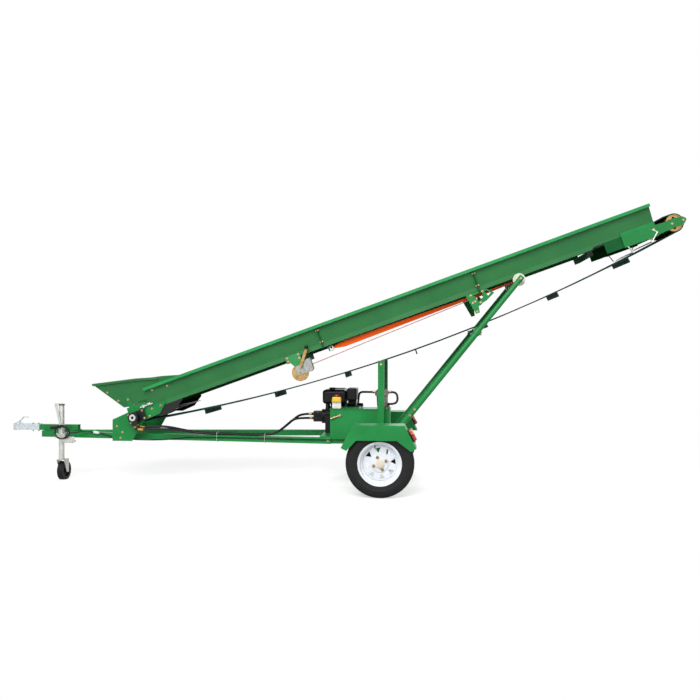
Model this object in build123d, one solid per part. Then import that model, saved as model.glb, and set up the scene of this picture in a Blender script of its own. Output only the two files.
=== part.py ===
"""Towable firewood conveyor: a drawbar chassis on two wheels carries a belt conveyor boom.

Millimetres, +Z up, +X toward the discharge head, -Y the near side with the motor and the winch.
The boom pivots on its tail shaft and rests on two strut legs that roll under its trough.
Boom pieces are drawn as (u, y, v), with u along the line from the tail shaft to the head shaft
and v above that line, and are then set at the boom's slope.
"""
from build123d import *
import math
import os

# Wheels: trailer tyres on pressed rims
X_AXLE = 473.4
HALF_TRACK = 652.0
TYRE_R = 265.0
TYRE_W = 125.0
TYRE_WALL = 11.0
TREAD_T = 15.0
RIM_R = 158.0
RIM_FLANGE_R = 171.0
RIM_HALF = 56.5
RIM_SEAT_HALF = 51.0
RIM_SHEET = 4.0
RIM_WELL = 18.0
WELL_HALF = 14.0
DISC_OUT = 12.0
DISC_DISH = 9.0
RIM_HOLES = 8
RIM_HOLE_R = 105.0
RIM_HOLE_SIZE = 24.0
RIM_HOLE_TURN = 8.5
STUDS = 4
STUD_CIRCLE_R = 50.8
STUD_R = 8.0
STUD_LEN = 18.0
STUD_TURN = 22.0
HUB_R = 36.0
HUB_CAP_R = 30.0
HUB_IN = 62.0
HUB_OUT = 36.0
SPINDLE_R = 15.0
SPINDLE_OUT = 20.0
RUNNING_GAP = 0.4
AXLE_TUBE = 45.0
AXLE_INSET = 92.0
AXLE_PAD = 90.0

# Chassis and drawbar of square tube
TUBE = 50.0
TUBE_WALL = 4.0
RAIL_Z = 366.0
RAIL_TOP = RAIL_Z + TUBE
RAIL_MID = RAIL_Z + TUBE / 2
NOSE_X = X_AXLE - 3050.0
NOSE_Y = 42.0
CHASSIS_FRONT_X = X_AXLE - 470.0
CHASSIS_FRONT_Y = 297.0
RAIL_SLOPE = (CHASSIS_FRONT_Y - NOSE_Y) / (CHASSIS_FRONT_X - NOSE_X)
RAIL_HALF_Y = TUBE / 2 * math.hypot(1, RAIL_SLOPE)
SIDE_RAIL_Y = 275.0
FRONT_CROSS_Y = 325.0
PLATE = 5.0

# Tow coupling for a 50 mm ball
COUPLING_TIP_X = X_AXLE - 3350.0
COUPLING_LEN = 255.0
SLEEVE_LEN = 95.0
SHELL = 5.0
BALL_R = 25.0
BALL_GAP = 0.3
BALL_BACK = 38.0
SOCKET_TOP = 22.0
SOCKET_LOW = 27.0
NOSE_TOP = 35.0
COUPLING_TUBE_END_X = X_AXLE - 2735.0
GUSSET_END_X = X_AXLE - 2755.0
COUPLING_Z = RAIL_TOP + PLATE + TUBE / 2
BALL_X = COUPLING_TIP_X + BALL_BACK

# Jockey wheel
JOCKEY_X = X_AXLE - 2815.0
JOCKEY_Y = -165.0
JOCKEY_TUBE_R = 24.0
JOCKEY_TUBE_WALL = 2.5
JOCKEY_TOP = 655.0
JOCKEY_BOTTOM = 196.0
JOCKEY_CAP = 12.0
JOCKEY_WHEEL_R = 80.0
JOCKEY_WHEEL_W = 50.0
JOCKEY_TRAIL = 45.0
JOCKEY_PIN_R = 7.0
FORK_GAP = 6.0
FORK_SHEET = 5.0
FORK_TOP = JOCKEY_BOTTOM - 13.0
KINGPIN_R = 8.0
GRIP_R = 11.0
GRIP_Z = 466.0
CRANK_Y = JOCKEY_Y - JOCKEY_TUBE_R - 10.0
GRIP_Y = CRANK_Y - GRIP_R / 2
CLAMP_HALF = 45.0

# Mudguards and tail lamps
GUARD_SHEET = 3.0
GUARD_CLEAR = 33.0
GUARD_INNER = 92.0
GUARD_OUTER = 93.0
GUARD_FRONT_OUT = 31.0
GUARD_REAR_OUT = 16.0
GUARD_RUN_IN = 92.0
GUARD_DROP = 174.0
SKIRT_DROP = 196.0
ARCH_DROP = 116.0
ARCH_HALF = 154.0
GUARD_TOP = 2 * TYRE_R + GUARD_CLEAR
GUARD_INNER_Y = HALF_TRACK - GUARD_INNER
GUARD_OUTER_Y = HALF_TRACK + GUARD_OUTER
GUARD_ARMS_X = (-150.0, 40.0)
GUARD_ARM_W = 30.0
LAMP_FROM = 48.0
LAMP_LEN = 98.0
LAMP_DEEP = 34.0
LAMP_WIDE = 115.0
LAMP_IN = 35.0

# Rest posts and power pack
POST_Y = SIDE_RAIL_Y + TUBE
POST_TOP = 1050.0
POST_X = X_AXLE - 8.5
BED_X = (X_AXLE - 520.0, X_AXLE + 70.0)
BED_Y = 296.0
BED_PLATE = 8.0
BED_PLATE_TOP = RAIL_TOP + BED_PLATE
TANK_X = (X_AXLE - 432.0, X_AXLE + 60.0)
TANK_Y = (-292.0, -85.0)
TANK_TOP = 647.0
TANK_WALL = 4.0
TANK_LID = 6.0
TANK_LID_OUT = 6.0
TANK_LID_TOP = TANK_TOP + TANK_LID
TANK_TAB_X = (X_AXLE - 415.0, X_AXLE - 340.0)
TANK_TAB_H = 26.0
CAP_AT = (X_AXLE - 190.0, -180.0)
CAP_R = 27.0
CAP_NECK_R = 20.0
CAP_NECK_H = 14.0
CAP_H = 12.0
FILTER_AT = (X_AXLE - 10.0, -190.0)
FILTER_R = 40.0
FILTER_HEAD_R = 56.0
FILTER_H = 156.0
FILTER_PORT_H = 134.0
FILTER_PORT_R = 11.0
FILTER_PORT_OUT = 72.0

# Engine and pump, both on a shaft line along X
SHAFT_Y = 65.0
SHAFT_Z = 560.0
CASE_X = (X_AXLE - 505.0, X_AXLE - 315.0)
CASE_Y = (-50.0, 180.0)
CASE_TOP = 640.0
CYLINDER_TILT = 25.0
CYLINDER_W = 120.0
CYLINDER_LEN = 170.0
FINS = 7
FIN_T = 5.0
FIN_OUT = 12.0
SHROUD_R = 116.0
SHROUD_LEN = 58.0
STARTER_R = 78.0
STARTER_LEN = 24.0
STARTER_SLOTS = 10
FUEL_X = (X_AXLE - 528.0, X_AXLE - 322.0)
FUEL_Y = (-66.0, 128.0)
FUEL_Z = (676.0, 796.0)
FUEL_ROUND = 26.0
FUEL_CAP_R = 26.0
FUEL_CAP_H = 16.0
SADDLE_W = 22.0
MUFFLER_X = (X_AXLE - 507.0, X_AXLE - 343.0)
MUFFLER_Y = (134.0, 262.0)
MUFFLER_Z = (706.0, 800.0)
MUFFLER_ROUND = 18.0
GUARD_SLOTS = 7
CLEANER_X = (X_AXLE - 316.0, X_AXLE - 232.0)
CLEANER_Y = (-60.0, 124.0)
CLEANER_Z = (706.0, 810.0)
CLEANER_ROUND = 12.0
BELL_LEN = 40.0
BELL_R = 62.0
PUMP_LEN = 72.0
PUMP_SIZE = 90.0
PORT_R = 13.0
PORT_OUT = 18.0

# Boom: a straight line from the tail shaft to the head shaft
TAIL_X = X_AXLE - 2090.0
TAIL_Z = 570.0
BOOM_ANGLE = 19.7
BOOM_LEN = 4685.0
TAIL_DRUM_R = 42.0
HEAD_DRUM_R = 67.0
DRUM_W = 500.0
DRUM_WALL = 6.0
DRUM_GAP = 0.2
TAIL_SHAFT_R = 17.0
HEAD_SHAFT_R = 15.0

# Pivot stand across the drawbar
STAND_X = X_AXLE - 2255.0
LUG_Y = 287.0
LUG_T = 10.0
LUG_R = 70.0
LUG_FRONT = 40.0
LUG_BACK = 130.0
BUSH_R = 44.0
BUSH_GAP = 2.0
BUSH_OUT = LUG_Y + LUG_T + BUSH_GAP

# Trough section, heights above the shaft line
SHEET = 3.0
TROUGH_Y = 270.0
TROUGH_BOTTOM = 18.0
TROUGH_BEND = 52.0
TROUGH_TOP = 205.0
TROUGH_TOP_Y = 304.0
LIP_OUT = 26.0
LIP_DROP = 22.0
FOOT_FLANGE = 32.0
BED_TOP = 46.0
TROUGH_START = 150.0
TROUGH_END = BOOM_LEN - 155.0
HEAD_SECTION = 510.0
UPPER_SECTION = 960.0
MIDDLE_SECTION = 1355.0
JOINT_GAP = 0.4
HEAD_JOINT = TROUGH_END - HEAD_SECTION
UPPER_JOINT = HEAD_JOINT - UPPER_SECTION
LOWER_JOINT = UPPER_JOINT - MIDDLE_SECTION
HEAD_FOOT = BED_TOP - 2 * SHEET
FLARE = (TROUGH_TOP_Y - TROUGH_Y) / (TROUGH_TOP - TROUGH_BEND)
FLANGE_T = 6.0
FLANGE_OUT = 22.0
FLANGE_LOW = 10.0
CROSS_W = 40.0
CROSS_H = 45.0
CROSS_U = (1490.0, HEAD_JOINT - 50.0)

# Belt
BELT_W = 490.0
BELT_T = 10.0
BELT_SAG = 195.0
RETURN_STEPS = 16
CLEAT_H = 38.0
CLEAT_T = 9.0
CLEAT_W = 480.0
CLEAT_PITCH = 614.0
FIRST_CLEAT = 330.0
FIRST_RETURN_CLEAT = 572.0
CLEAT_MARGIN = 60.0

# Tail end: side plates, tray, motor and take-up
TAIL_PLATE = 8.0
TAIL_PLATE_OUT = TROUGH_Y + TAIL_PLATE
TAIL_PLATE_TOP = 96.0
TAIL_PLATE_LOW = -48.0
TAIL_PLATE_END = 279.0
STRAP_T = 5.0
STRAP_U = (-34.0, 4.0)
STRAP_TOP = 190.0
TRAY_T = 5.0
TRAY_U = (120.0, 423.0)
TRAY_FLOOR = -34.0
TRAY_LOW = -66.0
MOTOR_FLANGE = (-62.0, 88.0)
MOTOR_FLANGE_T = 14.0
MOTOR_HALF = 46.0
MOTOR_R = 42.0
MOTOR_LEN = 56.0
MOTOR_RING_R = 27.0
MOTOR_RING_BORE = 13.0
MOTOR_RING_T = 5.0
MOTOR_BLOCK_W = 48.0
MOTOR_BLOCK_LOW = -68.0
MOTOR_SHAFT_IN = 8.0
FITTING_R = 9.0
TAKE_UP_R = 7.0
TAKE_UP_U = (60.0, 178.0)
TAKE_UP_V = 62.0
TAKE_UP_LUG = 26.0
NUT_R = 12.0

# Head end: sliding arms, slide plates and belt guide rods
ARM_T = 6.0
ARM_OUT = 286.0
ARM_START = BOOM_LEN - 432.0
ARM_STEP = BOOM_LEN - 185.0
ARM_TIP = BOOM_LEN + 84.0
ARM_TOP = 40.0
ARM_LOW = -50.0
ARM_FLANGE_TOP = 66.0
TIP_TOP = 26.0
TIP_LOW = -32.0
TIP_ROUND = 22.0
BEARING_R = 36.0
BEARING_T = 20.0
SLIDE_T = 8.0
SLIDE_START = BOOM_LEN - 572.0
SLIDE_END = BOOM_LEN - 265.0
SLIDE_LOW = -53.0
GUIDE_R = 5.0
DRUM_HOLES = 6
DRUM_HOLE_R = 12.0
DRUM_HOLE_CIRCLE = 38.0

# Hopper
HOPPER_TIP = (-248.0, 387.0)
HOPPER_LOW = (-75.0, 112.0)
HOPPER_KNEE = (118.0, 306.0)
HOPPER_JOIN = (464.0, 207.0)
HOPPER_FOOT = (330.0, 120.0)
HOPPER_LIP_OUT = 14.0
HOPPER_LIP_H = 18.0
HOPPER_LIP_END = 300.0

# Winch under the near side
WINCH_U = 1451.0
WINCH_V = -116.0
WINCH_GEAR_R = 72.0
WINCH_GEAR_T = 7.0
WINCH_DRUM_R = 26.0
WINCH_CHEEK_R = 48.0
WINCH_SHAFT_R = 10.0
WINCH_SHEET = 4.0
WINCH_IN = 196.0
HANGER_T = 6.0
HANGER_TOP = 44.0
CRANK_AT = (19.0, 44.0)
CRANK_TO = (126.0, 178.0)
CRANK_R = 9.0
CRANK_BAR = 22.0
CRANK_BAR_T = 6.0
CRANK_OUT = 292.0
KNOB_R = 16.0

# Strut legs with rollers under the trough
STRUT_FOOT_X = X_AXLE + 98.0
STRUT_FOOT_Z = 452.0
STRUT_Y = 348.0
STRUT_R = 21.0
STRUT_WALL = 3.5
SLEEVE_R = 25.0
STRUT_SLEEVE = 640.0
STRUT_OVER = 24.0
EYE_R = 20.0
EYE_HALF = 24.0
FOOT_GAP = 2.0
FOOT_LUG_R = 22.0
FOOT_LUG_T = 8.0
FOOT_PIN_R = 9.0
FOOT_PIN_OUT = 14.0
BRACE_AT = 1060.0
BRACE_R = 14.0
ROLLER_BACK = 1294.0
ROLLER_U = BOOM_LEN - ROLLER_BACK
ROLLER_TREAD_R = 25.0
ROLLER_FLANGE_R = 51.0
ROLLER_FLANGE_T = 10.0
ROLLER_FLANGE_Y = TROUGH_Y + 5.0
ROLLER_GAP = 1.0
ROLLER_AXLE_R = 10.0
AXLE_OUT = 30.0
ROLLER_V = TROUGH_BOTTOM - ROLLER_TREAD_R - ROLLER_GAP
ROLLER_TRAVEL = 205.0
STOP_Y = 260.0
STOP_T = 8.0

# Stays: the winch rope and the webbing strap that holds the roller axle back
ROPE_R = 4.0
ROPE_Y = -212.0
ROPE_START = (117.0, 35.0)
STRAP_EYE_U = LOWER_JOINT + 34.0
STRAP_EYE_V = -11.0
STRAP_EYE_T = 6.0
STAY_Y = -231.0
STAY_T = 3.0
STAY_W = 66.0
STAY_END_W = 18.0
STAY_DIP = 8.0
STAY_NECK = 90.0
RING_R = 19.0
RING_WIRE_R = 4.0
SEAT_GAP = 0.3

# Hoses and the lighting lead
HOSE_R = 10.0
SUPPLY_HOSE_R = 9.0
LOOP_DROP = 100.0
LEAD_R = 4.5
COIL_R = 55.0
COIL_WIRE_R = 9.0
BEND_SHARE = 0.45

BOOM = Plane(
    origin=(TAIL_X, 0, TAIL_Z),
    x_dir=(math.cos(math.radians(BOOM_ANGLE)), 0, math.sin(math.radians(BOOM_ANGLE))),
    z_dir=(-math.sin(math.radians(BOOM_ANGLE)), 0, math.cos(math.radians(BOOM_ANGLE))),
).location
FAR_OFF = 2000.0


def block(x, y, z):
    """A box from three (low, high) ranges."""
    size = [high - low for low, high in (x, y, z)]
    return Solid.make_box(*size, Plane((x[0], y[0], z[0])))


def rod(start, end, radius):
    """A round bar from one point to another."""
    start, end = Vector(*start), Vector(*end)
    return Solid.make_cylinder(radius, (end - start).length, Plane(start, z_dir=end - start))


def pipe(start, end, radius, bore):
    """A round tube from one point to another."""
    return rod(start, end, radius).cut(rod(start, end, bore))


def cross_rod(u, v, y0, y1, radius):
    """A round bar across the machine."""
    return rod((u, y0, v), (u, y1, v), radius)


def prism(points, along):
    """A straight prism on a closed outline of 3-D points."""
    face = Face(Wire.make_polygon([Vector(*p) for p in points], close=True))
    return Solid.extrude(face, Vector(*along))


def outline_xz(points, y0, y1):
    """A plate with the outline (x, z), from y0 to y1."""
    return prism([(x, y0, z) for x, z in points], (0, y1 - y0, 0))


def outline_yz(points, x0, x1):
    """A plate with the outline (y, z), from x0 to x1."""
    return prism([(x0, y, z) for y, z in points], (x1 - x0, 0, 0))


def outline_xy(points, z0, z1):
    """A plate with the outline (x, y), from z0 to z1."""
    return prism([(x, y, z0) for x, y in points], (0, 0, z1 - z0))


def folded(points, thickness):
    """The closed outline of a sheet bent along points, thickened to the left of its run."""
    normals = []
    for (ax, ay), (bx, by) in zip(points, points[1:]):
        length = math.hypot(bx - ax, by - ay)
        normals.append((-(by - ay) / length, (bx - ax) / length))
    offset = []
    for i, (px, py) in enumerate(points):
        before = normals[max(i - 1, 0)]
        after = normals[min(i, len(normals) - 1)]
        sx, sy = before[0] + after[0], before[1] + after[1]
        scale = 2 * thickness / (sx * sx + sy * sy)
        offset.append((px + sx * scale, py + sy * scale))
    return list(points) + offset[::-1]


def square_tube(start, end, size, wall):
    """A hollow square tube whose centre line runs level from start to end."""
    start, end = Vector(*start), Vector(*end)
    along = end - start
    frame = Plane(start, x_dir=along.cross(Vector(0, 0, 1)), z_dir=along)
    outer = Solid.make_box(size, size, along.length, Plane((-size / 2, -size / 2, 0)))
    bore = size - 2 * wall
    inner = Solid.make_box(bore, bore, along.length, Plane((-bore / 2, -bore / 2, 0)))
    return frame.location * outer.cut(inner)


def turned(profile, y_mid):
    """A body of revolution about the wheel axis, from (radius, distance outward) points."""
    face = Face(Wire.make_polygon([Vector(r, y_mid + y, 0) for r, y in profile], close=True))
    return Pos(X_AXLE, 0, TYRE_R) * Solid.revolve(face, 360, Axis((0, 0, 0), (0, 1, 0)))


def turned_upright(profile, at):
    """A body of revolution about an upright axis, from (radius, z) points."""
    face = Face(Wire.make_polygon([Vector(r, 0, z) for r, z in profile], close=True))
    return Pos(*at, 0) * Solid.revolve(face, 360, Axis((0, 0, 0), (0, 0, 1)))


def fuse(*shapes):
    return shapes[0].fuse(*shapes[1:])


def common(one, other):
    """What two solids share."""
    return one.intersect(other).solids()[0]


def mirrored(shape):
    """The same piece on the other side of the machine."""
    return shape.mirror(Plane.XZ)


def both(shape):
    return [shape, mirrored(shape)]


def rounded(shape, radius):
    """A box with all its edges rounded."""
    return shape.fillet(radius, shape.edges())


def cord(points, radius):
    """A hose or cable: straight runs joined by arcs as large as the runs allow."""
    points = [Vector(*p) for p in points]
    bends = []
    for before, at, after in zip(points, points[1:], points[2:]):
        half_turn = math.radians((at - before).get_angle(after - at)) / 2
        run = min((at - before).length, (after - at).length)
        bends.append(BEND_SHARE * run / math.tan(half_turn))
    path = FilletPolyline(*points, radius=bends)
    print("bends from", round(min(bends)), "mm on a", radius, "mm cord,", round(path.length), "mm long")
    section = Plane(path @ 0, z_dir=path % 0) * Circle(radius)
    return sweep(section, path=path).solid()


def rail_y(x):
    """How far the drawbar rail's centre line stands from the middle."""
    return NOSE_Y + RAIL_SLOPE * (x - NOSE_X)


def flare_y(v):
    """How far out the trough wall's outer face stands at a height."""
    return TROUGH_Y + max(v - TROUGH_BEND, 0) * FLARE


def drawbar_rails():
    """Two rails run from the nose out to the chassis, cut square to the machine."""
    reach = TUBE
    start, end = NOSE_X - reach, CHASSIS_FRONT_X + reach
    rail = square_tube((start, -rail_y(start), RAIL_MID), (end, -rail_y(end), RAIL_MID), TUBE, TUBE_WALL)
    span = block((NOSE_X, CHASSIS_FRONT_X), (-FAR_OFF, FAR_OFF), (0, FAR_OFF))
    return both(common(rail, span))


def coupling_tube():
    """The coupling's tube on a gusset plate that ties the two rails."""
    front = rail_y(NOSE_X) + TUBE / 2
    back = rail_y(GUSSET_END_X) + TUBE / 2
    gusset = outline_xy(
        [(NOSE_X, -front), (GUSSET_END_X, -back), (GUSSET_END_X, back), (NOSE_X, front)],
        RAIL_TOP, RAIL_TOP + PLATE)
    start = COUPLING_TIP_X + COUPLING_LEN - SLEEVE_LEN
    tube = square_tube((start, 0, COUPLING_Z), (COUPLING_TUBE_END_X, 0, COUPLING_Z), TUBE, TUBE_WALL)
    return [fuse(gusset, tube)]


def tow_coupling():
    """A pressed coupling: a ball socket in a round nose, a neck and a sleeve over the tube."""
    back = COUPLING_TIP_X + COUPLING_LEN
    neck_end = back - SLEEVE_LEN
    half = TUBE / 2
    low, high = COUPLING_Z - half, COUPLING_Z + half
    nose = rod((BALL_X, 0, COUPLING_Z - SOCKET_LOW), (BALL_X, 0, COUPLING_Z + NOSE_TOP), BALL_BACK)
    neck = outline_xz(
        [(BALL_X, low), (neck_end, low), (neck_end, high + SHELL), (BALL_X, high + SHELL)],
        -half - SHELL, half + SHELL)
    sleeve = block((neck_end, back), (-half - SHELL, half + SHELL), (low, high + SHELL))
    sleeve = sleeve.cut(block((neck_end, back), (-half, half), (low, high)))
    socket = rod((BALL_X, 0, COUPLING_Z - SOCKET_LOW), (BALL_X, 0, COUPLING_Z + SOCKET_TOP),
                 BALL_R + BALL_GAP)
    return [fuse(nose, neck, sleeve).cut(socket)]


def coupling_latch():
    """The latch lever, a bent strap on the nose."""
    line = [(4, 0), (30, 25), (62, 54), (98, 48)]
    sheet = folded([(BALL_X + x, COUPLING_Z + NOSE_TOP + z) for x, z in line], SHELL)
    foot = block((BALL_X - 10, BALL_X + 24), (-14, 14), (COUPLING_Z + NOSE_TOP, COUPLING_Z + NOSE_TOP + 10))
    return [fuse(foot, outline_xz(sheet, -14, 14))]


def chassis_cross_tubes():
    """The front cross tube and the one that carries the strut."""
    front_x = CHASSIS_FRONT_X + TUBE / 2
    rear_y = STRUT_Y + EYE_HALF + FOOT_PIN_OUT + FOOT_GAP
    return [
        square_tube((front_x, -FRONT_CROSS_Y, RAIL_MID), (front_x, FRONT_CROSS_Y, RAIL_MID), TUBE, TUBE_WALL),
        square_tube((STRUT_FOOT_X, -rear_y, RAIL_MID), (STRUT_FOOT_X, rear_y, RAIL_MID), TUBE, TUBE_WALL),
    ]


def chassis_rails():
    start, end = CHASSIS_FRONT_X + TUBE, STRUT_FOOT_X - TUBE / 2
    return both(square_tube((start, -SIDE_RAIL_Y, RAIL_MID), (end, -SIDE_RAIL_Y, RAIL_MID), TUBE, TUBE_WALL))


def strut_lugs():
    """A pair of cheeks with a pin under each strut leg."""
    cheeks = []
    for y in (STRUT_Y - EYE_HALF - FOOT_GAP, STRUT_Y + EYE_HALF + FOOT_GAP + FOOT_LUG_T):
        sides = (-y, -y + FOOT_LUG_T)
        plate = block((STRUT_FOOT_X - FOOT_LUG_R, STRUT_FOOT_X + FOOT_LUG_R), sides, (RAIL_TOP, STRUT_FOOT_Z))
        cheeks += [plate, cross_rod(STRUT_FOOT_X, STRUT_FOOT_Z, *sides, FOOT_LUG_R)]
    reach = EYE_HALF + FOOT_PIN_OUT
    pin = cross_rod(STRUT_FOOT_X, STRUT_FOOT_Z, -STRUT_Y - reach, -STRUT_Y + reach, FOOT_PIN_R)
    return both(fuse(*cheeks, pin))


def axle_beam():
    """A square axle under the side rails, with a spindle at each end."""
    end = HALF_TRACK - AXLE_INSET
    tube = square_tube((X_AXLE, -end, TYRE_R), (X_AXLE, end, TYRE_R), AXLE_TUBE, TUBE_WALL)
    plug = block((X_AXLE - AXLE_TUBE / 2, X_AXLE + AXLE_TUBE / 2), (-end, -end + 2 * TUBE_WALL),
                 (TYRE_R - AXLE_TUBE / 2, TYRE_R + AXLE_TUBE / 2))
    spindle = cross_rod(X_AXLE, TYRE_R, -HALF_TRACK - SPINDLE_OUT, -end, SPINDLE_R)
    pad = block((X_AXLE - AXLE_PAD / 2, X_AXLE + AXLE_PAD / 2),
                (-SIDE_RAIL_Y - TUBE / 2, -SIDE_RAIL_Y + TUBE / 2), (TYRE_R + AXLE_TUBE / 2, RAIL_Z))
    side = fuse(plug, spindle)
    return [fuse(tube, side, mirrored(side), pad, mirrored(pad))]


# Tyre section: share of the height above the bead, half width as a share of the tyre's half width
TYRE_SECTION = ((0.0, 0.80), (0.17, 0.90), (0.53, 1.0), (0.81, 0.93), (0.95, 0.74), (1.0, 0.45))


def tyre():
    """A hollow ring with rounded walls, seated on the rim."""
    bead = RIM_R + SEAT_GAP
    height = TYRE_R - bead
    outer = [(bead + share * height, half * TYRE_W / 2) for share, half in TYRE_SECTION]
    hollow = height - TREAD_T
    inner = [(bead + share * hollow, half * TYRE_W / 2 - TYRE_WALL) for share, half in TYRE_SECTION]
    ring = [(r, -y) for r, y in outer] + outer[::-1] + inner + [(r, -y) for r, y in inner[::-1]]
    return turned(ring, HALF_TRACK)


def rim():
    """A drop-centre rim, its dished disc with a ring of holes, and the hub with studs and cap."""
    barrel = [(RIM_FLANGE_R, -RIM_HALF), (RIM_R, -RIM_SEAT_HALF), (RIM_R, -WELL_HALF - RIM_SHEET),
              (RIM_R - RIM_WELL, -WELL_HALF), (RIM_R - RIM_WELL, WELL_HALF), (RIM_R, WELL_HALF + RIM_SHEET),
              (RIM_R, RIM_SEAT_HALF), (RIM_FLANGE_R, RIM_HALF)]
    well_r = RIM_R - RIM_WELL - RIM_SHEET / 2
    stud_ring = STUD_CIRCLE_R + STUD_R + RIM_SHEET
    disc = [(HUB_R - RIM_SHEET, DISC_OUT), (stud_ring, DISC_OUT),
            (stud_ring + DISC_DISH, DISC_OUT - DISC_DISH), (well_r - DISC_DISH, DISC_OUT - DISC_DISH),
            (well_r, DISC_OUT - 2 * DISC_DISH)]
    wheel = fuse(turned(folded(barrel, RIM_SHEET), HALF_TRACK), turned(folded(disc, RIM_SHEET), HALF_TRACK))
    for i in range(RIM_HOLES):
        corners = []
        for spoke, turn in ((-1.0, 0.0), (0.75, 0.9), (0.75, -0.9)):
            radius = RIM_HOLE_R + spoke * RIM_HOLE_SIZE
            angle = math.radians(RIM_HOLE_TURN + 360 * i / RIM_HOLES) + turn * RIM_HOLE_SIZE / RIM_HOLE_R
            corners.append((X_AXLE + radius * math.cos(angle), TYRE_R + radius * math.sin(angle)))
        wheel = wheel.cut(outline_xz(corners, HALF_TRACK - RIM_HALF, HALF_TRACK + RIM_HALF))
    hub = cross_rod(X_AXLE, TYRE_R, HALF_TRACK - HUB_IN, HALF_TRACK + DISC_OUT + RIM_SHEET, HUB_R)
    cap = cross_rod(X_AXLE, TYRE_R, HALF_TRACK, HALF_TRACK + HUB_OUT, HUB_CAP_R)
    studs = []
    for i in range(STUDS):
        angle = math.radians(STUD_TURN + 360 * i / STUDS)
        x, z = X_AXLE + STUD_CIRCLE_R * math.cos(angle), TYRE_R + STUD_CIRCLE_R * math.sin(angle)
        studs.append(cross_rod(x, z, HALF_TRACK + DISC_OUT, HALF_TRACK + DISC_OUT + STUD_LEN, STUD_R))
    bore = cross_rod(X_AXLE, TYRE_R, HALF_TRACK - HUB_IN, HALF_TRACK + SPINDLE_OUT + RIM_SHEET,
                     SPINDLE_R + RUNNING_GAP)
    return fuse(wheel, hub, cap, *studs).cut(bore)


GUARD_LINE = (
    (X_AXLE - TYRE_R - GUARD_FRONT_OUT, GUARD_TOP - GUARD_DROP),
    (X_AXLE - TYRE_R - GUARD_FRONT_OUT + GUARD_RUN_IN, GUARD_TOP),
    (X_AXLE + TYRE_R + GUARD_REAR_OUT - GUARD_RUN_IN, GUARD_TOP),
    (X_AXLE + TYRE_R + GUARD_REAR_OUT, GUARD_TOP - GUARD_DROP),
)


def mudguards():
    """A bent top, an outer skirt with the wheel arch, an inner wall and two arms to the rail."""
    front, rear = GUARD_LINE[0][0], GUARD_LINE[3][0]
    lip = SKIRT_DROP - GUARD_DROP
    skirt, arch = GUARD_TOP - SKIRT_DROP, GUARD_TOP - ARCH_DROP
    skirt_line = [(rear - 2 * lip, skirt), (X_AXLE + ARCH_HALF - lip, arch),
                  (X_AXLE - ARCH_HALF - lip, arch), (front + 2 * lip, skirt)]
    wall_line = [(rear - 5 * lip, GUARD_TOP - GUARD_DROP), (front + 5 * lip, GUARD_TOP - GUARD_DROP)]
    top = outline_xz(folded(GUARD_LINE[::-1], GUARD_SHEET), -GUARD_OUTER_Y, -GUARD_INNER_Y)
    outer = outline_xz(list(GUARD_LINE) + skirt_line, -GUARD_OUTER_Y, -GUARD_OUTER_Y + GUARD_SHEET)
    wall = outline_xz(list(GUARD_LINE) + wall_line, -GUARD_INNER_Y - GUARD_SHEET, -GUARD_INNER_Y)
    arms = []
    for x in GUARD_ARMS_X:
        arms.append(block((X_AXLE + x - GUARD_ARM_W / 2, X_AXLE + x + GUARD_ARM_W / 2),
                          (-GUARD_INNER_Y - GUARD_SHEET / 2, -SIDE_RAIL_Y - TUBE / 2),
                          (RAIL_TOP - GUARD_ARM_W, RAIL_TOP - PLATE)))
    return both(fuse(top, outer, wall, *arms))


def tail_lamps():
    """A lamp lies on the rear slope of each guard."""
    (x0, z0), (x1, z1) = GUARD_LINE[2], GUARD_LINE[3]
    length = math.hypot(x1 - x0, z1 - z0)
    dx, dz = (x1 - x0) / length, (z1 - z0) / length
    corners = []
    for along, out in ((0, 0), (LAMP_LEN, 0), (LAMP_LEN, LAMP_DEEP), (0, LAMP_DEEP)):
        reach = LAMP_FROM + along
        corners.append((x0 + dx * reach - dz * out, z0 + dz * reach + dx * out))
    start = -GUARD_OUTER_Y + LAMP_IN
    return both(outline_xz(corners, start, start + LAMP_WIDE))


def rest_posts():
    """Two upright tubes beside the chassis rails, closed on top."""
    outer, inner = TUBE / 2, TUBE / 2 - TUBE_WALL
    post = block((POST_X - outer, POST_X + outer), (-POST_Y - outer, -POST_Y + outer), (RAIL_Z, POST_TOP))
    bore = block((POST_X - inner, POST_X + inner), (-POST_Y - inner, -POST_Y + inner),
                 (RAIL_Z, POST_TOP - TUBE_WALL))
    return both(post.cut(bore))


def engine_bed():
    return [block(BED_X, (-BED_Y, BED_Y), (RAIL_TOP, BED_PLATE_TOP))]


def hydraulic_tank():
    """A welded tank with an overhanging lid and a tab for the stop switch."""
    inner = [(low + TANK_WALL, high - TANK_WALL) for low, high in (TANK_X, TANK_Y)]
    shell = block(TANK_X, TANK_Y, (BED_PLATE_TOP, TANK_TOP))
    shell = shell.cut(block(*inner, (BED_PLATE_TOP + TANK_WALL, TANK_TOP)))
    lid = block(*[(low - TANK_LID_OUT, high + TANK_LID_OUT) for low, high in (TANK_X, TANK_Y)],
                (TANK_TOP, TANK_LID_TOP))
    tab = block(TANK_TAB_X, (TANK_Y[0], TANK_Y[0] + TANK_WALL), (TANK_LID_TOP, TANK_LID_TOP + TANK_TAB_H))
    return [fuse(shell, lid, tab)]


def tank_cap():
    """A filler neck and its knob cap."""
    neck_top = TANK_LID_TOP + CAP_NECK_H
    profile = [(0, TANK_LID_TOP), (CAP_NECK_R, TANK_LID_TOP), (CAP_NECK_R, neck_top), (CAP_R, neck_top),
               (CAP_R, neck_top + CAP_H / 2), (CAP_NECK_R, neck_top + CAP_H), (0, neck_top + CAP_H)]
    return [turned_upright(profile, CAP_AT)]


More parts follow.
